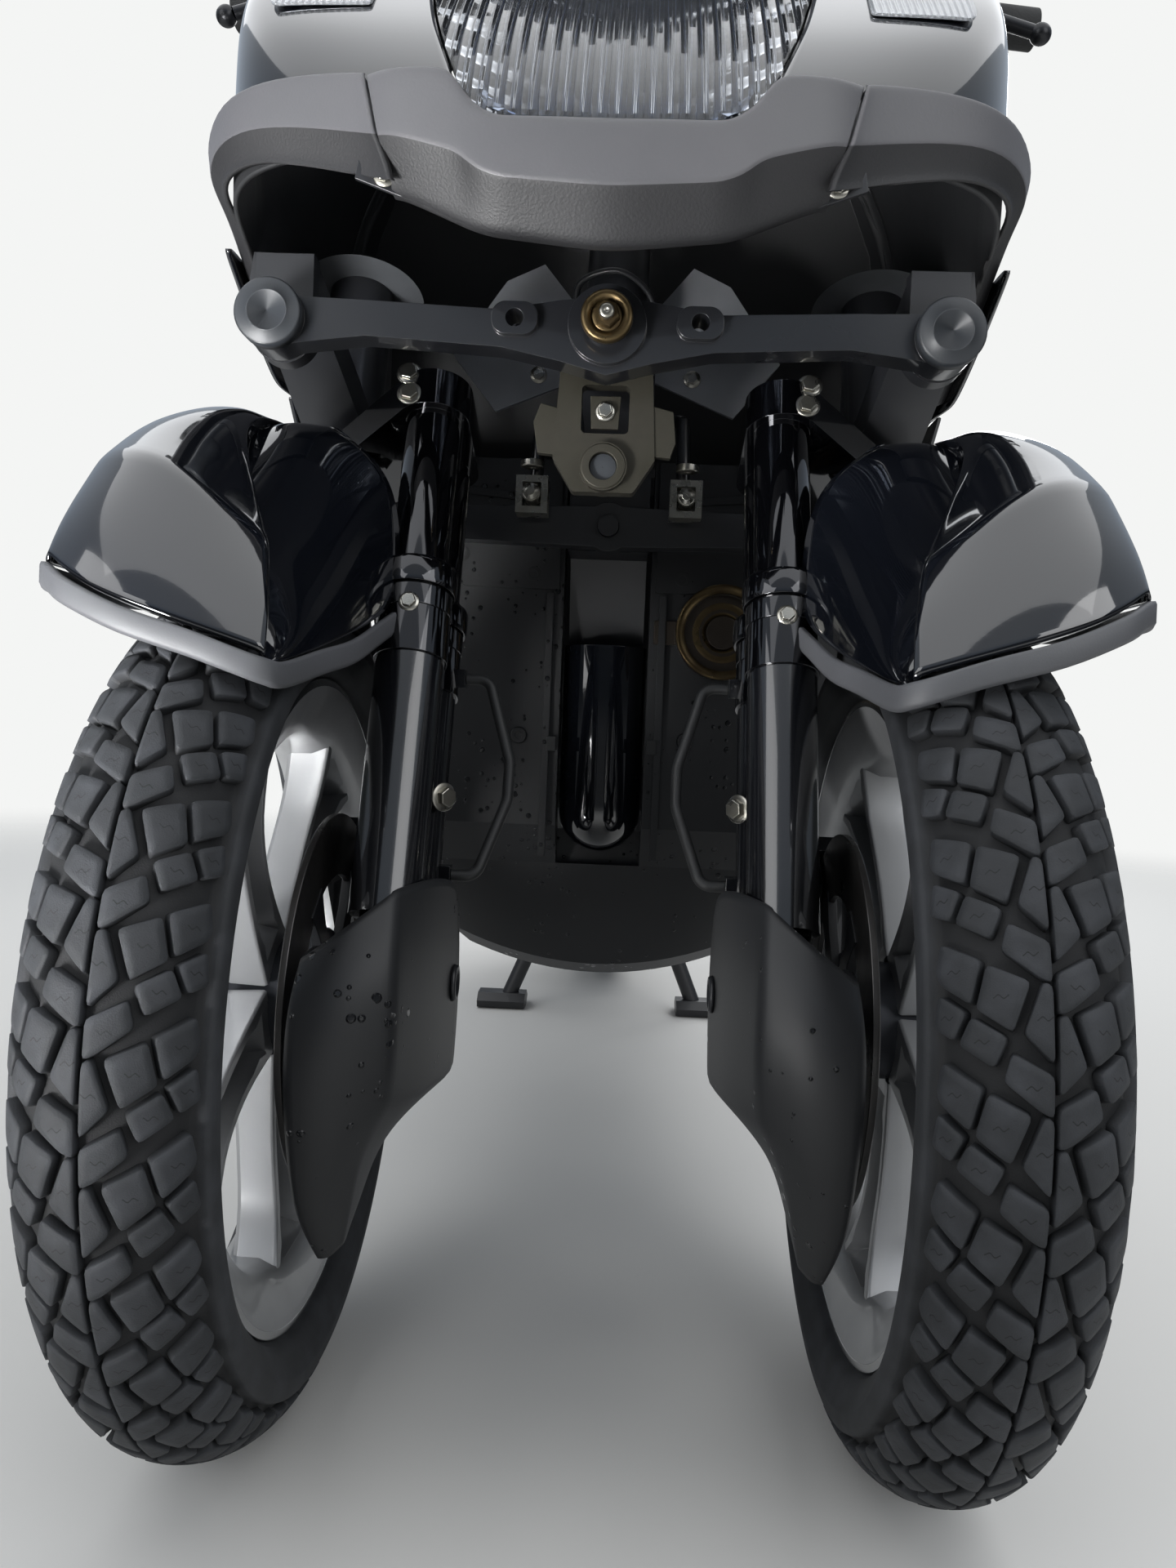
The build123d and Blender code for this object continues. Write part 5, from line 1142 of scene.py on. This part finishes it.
for side in (1, -1):
    # A bracket behind each seam, with its screw.
    parts.append(slab([(side * x, z) for x, z in BRACKET][::side], 0, 3, at(0, -84, 686)))
    parts += bolt(at(side * 116, -88, 697), FORWARD, flat=7, mark=1, tall=3, flange=1.5)
detail("bumper_brackets", [satin_black, zinc], parts, "chassis", "matte_grey", 0.0006)

FLUTES = 700.0  # 2 pi over the flutes' width in m
fluted, tree, out, place = blank("fluted headlight glass")
# Pressed glass: clear, with flutes 9 mm wide that stretch what is behind into upright bars.
split = add(tree, "ShaderNodeSeparateXYZ", inputs={"Vector": place})
turns = add(tree, "ShaderNodeMath", {"operation": "MULTIPLY"}, {0: split.outputs["X"], 1: FLUTES})
sine = add(tree, "ShaderNodeMath", {"operation": "SINE"}, {0: turns.outputs[0]})
flute = add(tree, "ShaderNodeBump", inputs={"Height": sine.outputs[0], "Strength": 1.0, "Distance": 0.0035})
tone = add(tree, "ShaderNodeMapRange", inputs={
    "Value": sine.outputs[0], "From Min": -1.0, "To Min": 0.02, "To Max": 0.1})
glass = add(tree, "ShaderNodeBsdfPrincipled", inputs={
    "Base Color": linear("#eef3fa"), "Transmission Weight": 1.0, "IOR": 1.32, "Roughness": tone.outputs[0],
    "Normal": flute.outputs[0]})
tree.links.new(glass.outputs[0], out.inputs["Surface"])
# The nose in mm: the face's y by height and by half width, and the half widths of nose and lamp by height.
NOSE_FRONT = [(700, -104), (735, -92), (795, -50), (868, 20), (916, 80), (944, 130), (962, 226)]
NOSE_PLAN = [(0, -110), (60, -106), (112, -92), (158, -66), (188, -53), (216, -30), (236, 20), (247, 90), (250, 200)]
NOSE_HALF = [(640, 236), (720, 248), (775, 246), (850, 232), (915, 200), (952, 150), (970, 60)]
LAMP_HALF = [(716, 0), (717, 56), (727, 70), (756, 84), (803, 100), (872, 115), (908, 103), (921, 95), (928, 60),
             (930, 0)]
EDGE_ROUND = 15  # how broad the rounding between the nose's face and its sides is
NOSE_BACK = 333  # where the nose meets the knee panel


def nose_y(x, z):
    """How far back the nose's face lies at this half-width and height, with its edges rounded."""
    by_side, by_plan = eased(NOSE_FRONT, z, 14), eased(NOSE_PLAN, x, 16)
    return EDGE_ROUND * math.log(math.exp(by_side / EDGE_ROUND) + math.exp(by_plan / EDGE_ROUND))


def lifted(x, z, lift):
    """The place so many mm off the nose's face, outward, above the face's place at x and z."""
    slope = (nose_y(abs(x) + 1, z) - nose_y(max(abs(x) - 1, 0), z)) / 2
    reach = min(1.0, 1 / math.hypot(1, slope))
    return x + lift * slope * reach * (1 if x > 0 else -1), nose_y(x, z) - lift * reach, z


def spread(inner, outer, count):
    """Places from the inner half width to the outer, in count equal steps."""
    return [inner + (outer - inner) * (k / count) for k in range(count + 1)]


def cowl_y(x, z):
    """The cowl's face, kept 9 mm behind the bumper where that covers it."""
    covered = 1 - min(1.0, max(0.0, (z - 752) / 10))
    return max(nose_y(x, z), nose_y(x, z) * (1 - covered) + (eased(BAND_PLAN, x, 10) + 9) * covered)


ROWS = [718, 722, 728, 740, 756, 775, 800, 830, 860, 885, 905, 920, 928, 932, 940, 950, 958, 962]
FAN = [0, 0.1, 0.2, 0.3, 0.4, 0.5, 0.6, 0.7, 0.78, 0.85, 0.9, 0.94, 0.97, 0.985, 0.995, 1.0]
cowl_rows = []
for z in ROWS:
    half = along(NOSE_HALF, z)
    # The edge of the lamp's opening lies 1.5 mm outside the glass.
    lo = along(LAMP_HALF, z) + 1.5 if 714 < z < 931 else 0.0
    row = [(lo + (half - 2 - lo) * f, cowl_y(lo + (half - 2 - lo) * f, z), z) for f in FAN]
    start, end = row[-1][1], min(NOSE_BACK, 230 + (962 - z) * 4.5)
    for share in (0.04, 0.12, 0.3, 0.6, 0.9, 1.0):
        row.append((half - 0.6 + 0.4 * min(1, share * 8), start + max(0.6, end - start) * share, z))
    cowl_rows.append(row)
# The cheeks carry the cowl down along the mouth's sides to the knee panel.
CHEEK = [(661, 178), (668, 161), (680, 135), (695, 104), (708, 79), (720, 55)]  # height, front end's y
CHEEK_PLAN = [(-30, 216), (20, 236), (90, 247), (200, 250)]
CHEEK_LIP, CHEEK_LIMIT = (8, 2.5, 0.4), 248.6  # how far its front edge turns out, and the most it may
cheek_rows = []
for z, front in CHEEK:
    row = []
    for k in range(9):
        y = front + (NOSE_BACK - front) * k / 8
        here = min(along(NOSE_HALF, z), along(CHEEK_PLAN, y))
        row.append((min(CHEEK_LIMIT, here + CHEEK_LIP[min(k, 2)]), y, z))
    cheek_rows.append(row)
PAINTED_FROM = 0.745  # under this height the bumper covers the cowl, which is bare plastic there
for name, rows, creases, painted_from in [("nose_cowl", cowl_rows, [("column", 0, 0.8)], PAINTED_FROM),
                                          ("nose_cheek", cheek_rows, (), 0.0)]:
    for side, word in SIDES:
        piece = shell(f"{name}_{word}", rows, side, gloss_black, 0.003, creases, levels=2)
        piece.data.materials.append(textured)
        for face in piece.data.polygons:
            face.material_index = 1 if face.center.z < painted_from else 0
        piece.modifiers["wall"].material_offset = 1
        keep(piece, "chassis", "gloss_black", "nose_cowl")
LENS_ROWS = [716.6, 718, 722, 728, 740, 756, 775, 800, 830, 860, 885, 905, 918, 926, 929]
lens_rows = []
for z in LENS_ROWS:
    half = spread(0, along(LAMP_HALF, z), 12)
    lens_rows.append([lifted(x, z, 0.6) for x in [-v for v in half[:0:-1]] + half])
lens_piece = shell("headlight_glass_both", lens_rows, 1, fluted, 0.0026, levels=2)
keep(lens_piece, "chassis", "clear_lens", "headlight_lens")

RIBS = 1600.0  # 2 pi over the ribs' spacing in m
clear, tree, out, place = blank("clear signal lens")
# Moulded acrylic: milky clear, with fine upright ribs 4 mm apart.
split = add(tree, "ShaderNodeSeparateXYZ", inputs={"Vector": place})
turns = add(tree, "ShaderNodeMath", {"operation": "MULTIPLY"}, {0: split.outputs["X"], 1: RIBS})
sine = add(tree, "ShaderNodeMath", {"operation": "SINE"}, {0: turns.outputs[0]})
ribs = add(tree, "ShaderNodeBump", inputs={"Height": sine.outputs[0], "Strength": 0.6, "Distance": 0.0006})
glass = add(tree, "ShaderNodeBsdfPrincipled", inputs={
    "Base Color": linear("#d7dade"), "Transmission Weight": 0.7, "Roughness": 0.12, "IOR": 1.45,
    "Normal": ribs.outputs[0]})
tree.links.new(glass.outputs[0], out.inputs["Surface"])
# Plated plastic behind the lens: pale grey, uneven, half mirror.
chrome_back = finish("grey signal reflector", "#c4c6ca", 0.25, metallic=0.8, grain=3.0, depth=0.0001)
SIGNAL_INNER = [(819, 140), (826, 140), (846, 141), (870, 142), (884, 142), (891, 142)]
SIGNAL_OUTER = [(819, 196), (826, 200), (846, 200), (870, 184), (884, 172), (891, 150)]
SIGNAL_ROWS = [819, 822, 826, 836, 846, 858, 870, 880, 887, 890.5]
for layer, material, lift, wall in [("signal_back", chrome_back, 1.0, 0.0006), ("signal_glass", clear, 2.6, 0.0014)]:
    rows = [[lifted(x, z, lift) for x in spread(along(SIGNAL_INNER, z), along(SIGNAL_OUTER, z), 6)]
            for z in SIGNAL_ROWS]
    for side, word in SIDES:
        keep(shell(f"{layer}_{word}", rows, side, material, wall, levels=2), "chassis", "clear_lens", "front_signals")

FACETS = 260.0  # to the metre
reflector, tree, out, place = blank("vacuum plated reflector")
# Aluminium vapour on a stepped bowl: a mirror broken into upright facets 4 mm wide, tinted blue
# in patches as painted sky reflection.
split = add(tree, "ShaderNodeSeparateXYZ", inputs={"Vector": place})
turns = add(tree, "ShaderNodeMath", {"operation": "MULTIPLY"}, {0: split.outputs["X"], 1: FACETS})
ramp = add(tree, "ShaderNodeMath", {"operation": "PINGPONG"}, {0: turns.outputs[0], 1: 1.0})
steps = add(tree, "ShaderNodeBump", inputs={"Height": ramp.outputs[0], "Strength": 1.0, "Distance": 0.006})
# Painted reflection: the mirror's colour is tinted blue, lighter and darker in patches, like the sky it faces.
sky_tint_patches = add(tree, "ShaderNodeTexNoise", inputs={"Vector": place, "Scale": 25.0, "Detail": 2.0})
painted_sky_tint = add(tree, "ShaderNodeMix", {"data_type": "RGBA"}, {
    "Factor": sky_tint_patches.outputs["Fac"], "A": linear("#a9b6d0"), "B": linear("#e3eaf7")})
shade = add(tree, "ShaderNodeBsdfPrincipled", inputs={
    "Base Color": painted_sky_tint.outputs["Result"], "Metallic": 1.0, "Roughness": 0.16, "Normal": steps.outputs[0]})
tree.links.new(shade.outputs[0], out.inputs["Surface"])
softened("headlight_reflector", 0.0008, [reflector], "reflector")
# Blown glass with a warm tint: a small shiny spot in the bowl.
bulb_glass = finish("bulb glass", "#c9b98a", 0.05, metallic=0.2, coat=1.0, grain=2.0, depth=0.0)
BULB = [
    # the glass, its base and the shade in front: y, material, (height, radius)
    (60, 0, [(0, 0.01), (0, 9), (22, 9), (30, 6.5), (34, 0.01)]),
    (62, 1, [(0, 0.01), (0, 13), (6, 13), (6, 9.2), (6, 0.01)]),
    (34, 1, [(-2, 8), (-2, 15), (4, 15), (16, 12.5), (18, 10), (16, 9), (4, 11)]),
]
parts = [turned(profile, at(0, y, 835), FORWARD, mark, 32) for y, mark, profile in BULB]
detail("headlight_bulb", [bulb_glass, zinc], parts, "chassis", "reflector")

smoked, tree, out, place = blank("smoked acrylic")
# Cast acrylic sheet, dyed grey: see-through but dark, with a polished face.
haze = add(tree, "ShaderNodeTexNoise", inputs={"Vector": place, "Scale": 6.0, "Detail": 3.0})
film = add(tree, "ShaderNodeMapRange", inputs={"Value": haze.outputs["Fac"], "To Min": 0.03, "To Max": 0.09})
shade = add(tree, "ShaderNodeBsdfPrincipled", inputs={
    "Base Color": linear("#3d4046"), "Transmission Weight": 0.85, "Roughness": film.outputs[0], "IOR": 1.2})
tree.links.new(shade.outputs[0], out.inputs["Surface"])
softened("windscreen", 0.001, [smoked], "smoke_screen", angle=50)

# The seal round the back of the nose: a moulded black strip that is pressed into the gap between
# the cowl and the knee panel and hides it from the rider.
SEAL_Y = 333.2
SEAL = [
    # inner x and z, outer x and z, from the left foot up to the middle
    (239, 660, 246, 660), (241, 720, 247, 720), (241, 780, 246, 778), (226, 850, 232, 850), (196, 908, 202, 912),
    (140, 931, 152, 938), (60, 933, 70, 939), (0, 933, 0, 939),
]
all_round = SEAL + [(-a, b, -c, d) for a, b, c, d in SEAL[-2::-1]]
rows = [[(a * 0.97, SEAL_Y + 5, b), (a * 0.985, SEAL_Y, b), (c, SEAL_Y, d), (c, SEAL_Y + 3, d)]
        for a, b, c, d in all_round]
keep(shell("nose_seal", rows, 1, textured, 0.0012, levels=1), "chassis", "matte_black")

# The seat: grained black vinyl pulled over one long foam cushion, stitched across at the step and
# along the sides, on a plastic base that is hinged at its nose.
# Embossed PVC over cloth: a soft black with a leather grain 2 mm across and a slight sheen.
vinyl = finish("grained seat vinyl", "#1a1b1e", 0.48, grain=1.8, depth=0.00025, light="#202124")
HINGE_TOP, BASE_TOP = 0.7375, 0.738  # under the first the CAD seat has only its base and hinge
CROWN_RISE = 0.006  # how far the cover may rise above the CAD seat
FOAM_MIDDLE, TAKE_UP = 0.79, 0.985  # the cover starts a little smaller than the foam that fills it
MESH_STEP = 0.006
MOMENTS = 20
STEP_Y = 1.042  # the first stitch line's place behind the front axle, in m


def settle(piece):
    """Turns what the piece's modifiers make into its own mesh."""
    mesh = bpy.data.meshes.new_from_object(piece.evaluated_get(bpy.context.evaluated_depsgraph_get()))
    piece.modifiers.clear()
    piece.data = mesh


seat = placed("seat_cushion", frame["nodes"]["seat"].data.copy())
with reshaping(seat.data) as shape:
    bmesh.ops.remove_doubles(shape, verts=shape.verts, dist=MERGE)
    bmesh.ops.delete(shape, geom=[v for v in shape.verts if v.co.z < HINGE_TOP], context="VERTS")
    bmesh.ops.holes_fill(shape, edges=[e for e in shape.edges if e.is_boundary])
    for v in shape.verts:
        middle = Vector((0, v.co.y, FOAM_MIDDLE))
        v.co = middle + (v.co - middle) * TAKE_UP
seat.data.materials.clear()
seat.data.materials.append(vinyl)
remesh = seat.modifiers.new("even", "REMESH")
remesh.mode, remesh.voxel_size = "VOXEL", MESH_STEP
bpy.context.view_layer.update()
settle(seat)
# The cover is held where it lies on the base, and the foam's pressure fills out the rest.
held = seat.vertex_groups.new(name="base")
seat.data.update()
for v in seat.data.vertices:
    if v.normal.z < -0.6:
        held.add([v.index], 1.0, "REPLACE")
cloth = seat.modifiers.new("cover", "CLOTH")
cloth.settings.use_pressure = True
cloth.settings.uniform_pressure_force = 4.0
cloth.settings.tension_stiffness = cloth.settings.compression_stiffness = 40
cloth.settings.bending_stiffness = 30.0
cloth.settings.shrink_min = 0.012
cloth.settings.vertex_group_mass = "base"
cloth.settings.effector_weights.gravity = 0.0
cloth.point_cache.frame_start, cloth.point_cache.frame_end = 1, MOMENTS
for moment in range(1, MOMENTS + 1):
    bpy.context.scene.frame_set(moment)
settle(seat)
bpy.context.scene.frame_set(1)
lo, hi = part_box("seat")
lo, hi = (lo.x, lo.y, BASE_TOP), (hi.x, hi.y, hi.z + CROWN_RISE)
for v in seat.data.vertices:
    v.co = Vector([max(least, min(most, here)) for least, most, here in zip(lo, hi, v.co)])
for face in seat.data.polygons:
    face.use_smooth = True
finer = seat.modifiers.new("finer", "SUBSURF")
finer.levels = finer.render_levels = 1
keep(seat, "seat", "seat_vinyl", "seat")
# Two seams cross the cushion at the step, 7 mm apart, and a welt runs along each side.
cover = BVHTree.FromObject(seat, bpy.context.evaluated_depsgraph_get())
parts = []
for gap in (0, 0.007):
    line = []
    for x in range(-126, 127, 9):
        start = Vector((x / 1000, AXLE_Y + STEP_Y + gap + 0.010 * math.cos(x / 60), 0.9))
        hit = cover.ray_cast(start, Vector((0, 0, -1)))[0]
        if hit:
            line.append(hit + Vector((0, 0, 0.0003)))
    parts.append(tube(line, 0.9, steps=6, bend=2))
for side in (1, -1):
    line = []
    for y in range(740, 1420, 20):
        start = Vector(at(side * 300, y, 790 + (12 if y > 1060 else 0) + 20 * min(1, max(0, (y - 1000) / 80))))
        hit = cover.ray_cast(start, Vector((-side, 0, 0)))[0]
        if hit:
            line.append(hit + Vector((side * 0.0004, 0, 0)))
    parts.append(tube(line, 1.6, steps=8, bend=3))
detail("seat_seams", [vinyl], parts, "seat", "seat_vinyl")

# The tail: gloss black side panels, a red lamp lens, the painted steel grab rail, and the matte
# rear fender that carries an empty number plate board.
# In mm by y: the height of the side panels' lower and upper edge, and the tail's half width.
TAIL_LOW = [(712, 372), (840, 372), (900, 440), (1020, 560), (1180, 640), (1400, 700), (1560, 735), (1600, 770)]
TAIL_HIGH = [(712, 734), (760, 735), (1036, 748), (1082, 788), (1446, 802), (1500, 826), (1588, 800), (1600, 772)]
TAIL_HALF = [(712, 150), (800, 172), (950, 177.5), (1150, 169.5), (1400, 139.5), (1500, 116), (1560, 98),
             (1590, 60), (1603, 8)]
TAIL_STATIONS = [713, 722, 750, 800, 840, 870, 900, 950, 1020, 1045, 1075, 1110, 1180, 1260, 1340, 1400, 1450, 1490,
                 1525, 1555, 1578, 1594, 1602]
tail_rows = []
for y in TAIL_STATIONS:
    low, high, half = eased(TAIL_LOW, y, 14), eased(TAIL_HIGH, y, 8), along(TAIL_HALF, y)
    tall = high - low
    roll = min(14.0, half * 0.5)
    tail_rows.append([
        (half - roll * 1.6, y, low + 1), (half - roll * 0.7, y, low),
        (half - roll * 0.15, y, low + min(12, tall * 0.14)), (half, y, low + tall * 0.3),
        (half, y, low + tall * 0.55), (half - 1.5, y, low + tall * 0.78),
        (half - roll * 0.2, y, high - min(9, tall * 0.1)), (half - roll * 0.7, y, high - 1.5),
        (half - roll * 1.7, y, high - 0.5)])
for side, word in SIDES:
    panel = shell(f"tail_panel_{word}", tail_rows, side, gloss_black, 0.003, [("row", 1, 0.5)], levels=2)
    keep(panel, "chassis", "gloss_black", "tail_panels")
# The panel under the seat's nose, the deck behind the seat and the hinge's two cheeks.
front_rows = [[(x, 713 + x ** 2 * 0.00022 - (3 if 380 < z < 720 else 0), z)
               for x in (-148, -120, -80, -40, 0, 40, 80, 120, 148)] for z in (373, 380, 470, 560, 650, 722, 731)]
keep(shell("tail_front", front_rows, 1, textured, 0.003), "chassis", "gloss_black", "tail_panels")
deck_rows = []
for y in (1390, 1440, 1470, 1500, 1525, 1550, 1575, 1590):
    half = along(TAIL_HALF, y) - 8
    deck_rows.append([(half * f, y, eased(TAIL_HIGH, y, 8) - 1 - (half * f / max(half, 1)) ** 2 * 3)
                      for f in (-0.93, -0.7, -0.35, 0, 0.35, 0.7, 0.93)])
keep(shell("tail_deck", deck_rows, 1, gloss_black, 0.003), "chassis", "gloss_black", "tail_panels")
HINGE_CHEEK = [(691, 730), (695, 738), (705, 738), (720, 727), (720, 700), (698, 720)]
HINGE_PIN = [(-41, 0.01), (-41, 5), (41, 5), (41, 0.01)]
parts = [slab(HINGE_CHEEK, 0, 7.7, at(x, 0, 0), normal=(1, 0, 0), right=(0, 1, 0)) for x in (-42, 34.3)]
parts.append(turned(HINGE_PIN, at(0, 700, 730), (1, 0, 0), 1, 24))
detail("seat_hinge_cheeks", [satin_black, zinc], parts, "chassis", "gloss_black", 0.0008)
red_lens, tree, out, place = blank("red lamp lens")
# Red acrylic moulded over square prisms 6 mm apart: a deep glow broken into small facets.
prism = add(tree, "ShaderNodeTexVoronoi", {"distance": "CHEBYCHEV"}, {
    "Vector": place, "Scale": 165.0, "Randomness": 0.0})
bumps = add(tree, "ShaderNodeBump", inputs={"Height": prism.outputs["Distance"], "Strength": 0.7, "Distance": 0.001})
shade = add(tree, "ShaderNodeBsdfPrincipled", inputs={
    "Base Color": linear("#a80f12"), "Transmission Weight": 0.35, "Roughness": 0.12, "Coat Weight": 1.0,
    "Normal": bumps.outputs[0]})
tree.links.new(shade.outputs[0], out.inputs["Surface"])
softened("tail_lamp", 0.002, [red_lens], "red_lens")
softened("grab_rail", 0.001, [satin_black], "black_steel")
softened("rear_fender", 0.0012, [textured], "matte_black", angle=24)

# The power unit: cast aluminium cases, the black air box above the drive, the exhaust in black
# heat-proof paint, and sprung dampers. The stands are painted steel tube.
# Die-cast aluminium under thin silver paint: a grey metal, grainy and a little cloudy.
engine_alu = finish("cast engine aluminium", "#77787a", 0.5, metallic=0.85, grain=1.2, depth=0.00015, vary=0.2,
                    light="#717274", broad=20.0)
# Silicone paint that heat has dulled: flat black with greyer patches.
exhaust_black = finish("heat-proof black paint", "#1a1a1b", 0.58, metallic=0.1, grain=0.7, depth=0.00006,
                       vary=0.2, light="#232324", broad=25.0)
# Powder coat on drawn wire: a smooth black with a clear gleam.
spring_steel = finish("painted spring steel", "#222326", 0.3, metallic=0.2, coat=0.5, grain=0.8, depth=0.00002)
softened("engine", 0.004, [engine_alu], "engine_alu")
softened("drive_case", 0.004, [engine_alu], "engine_alu")
softened("air_cleaner", 0.003, [textured], "matte_black")
softened("exhaust", 0.002, [exhaust_black], "black_steel")
softened("rear_shocks", 0.0008, [spring_steel], "black_steel", angle=50)
softened("centre_stand", 0.0015, [satin_black], "stand_steel")
softened("side_stand", 0.0012, [satin_black], "stand_steel")

# The handlebar: steel tube with ribbed rubber grips, alloy levers, painted mirrors and a matte
# cover that closes round the bar's middle.
# Moulded rubber: flat black with a coarse, soft relief.
grip = finish("ribbed grip rubber", "#191a1b", 0.7, grain=3.0, depth=0.0006)
# Anodised aluminium: a dark smooth metal with a blurred gleam.
lever_alu = finish("black anodised lever", "#232427", 0.32, metallic=0.5, grain=0.5, depth=0.00001)


def control_part(c):
    """Rubber on the grips behind and outside, black metal on the levers and switch boxes."""
    y = (c.y - AXLE_Y) * 1000
    return 0 if y > 322 and abs(c.x) > 0.214 else 1


softened("handlebar", 0.0008, [satin_black], "black_steel")
softened("hand_controls", 0.001, [grip, lever_alu], "grip_rubber", pick=control_part)
# Silver behind float glass: a cold clean mirror.
mirror_glass = finish("silvered mirror glass", "#cfd6dc", 0.03, metallic=1.0, grain=3.0, depth=0.0)
softened("mirrors", 0.006, [gloss_black], "gloss_black", angle=40)
GLASS = [(-60, -22), (46, -29), (59, -8), (59, 17), (37, 32), (-46, 29), (-60, 9)]
parts = [slab([(side * x, z) for x, z in GLASS][::side], 0, 0.8, at(side * 302, 341.6, 1178), normal=(0, 1, 0),
              right=(-1, 0, 0)) for side in (1, -1)]
detail("mirror_glasses", [mirror_glass], parts, "handlebar", "gloss_black")
softened("handlebar_cover", 0.004, [textured], "matte_black", angle=16)
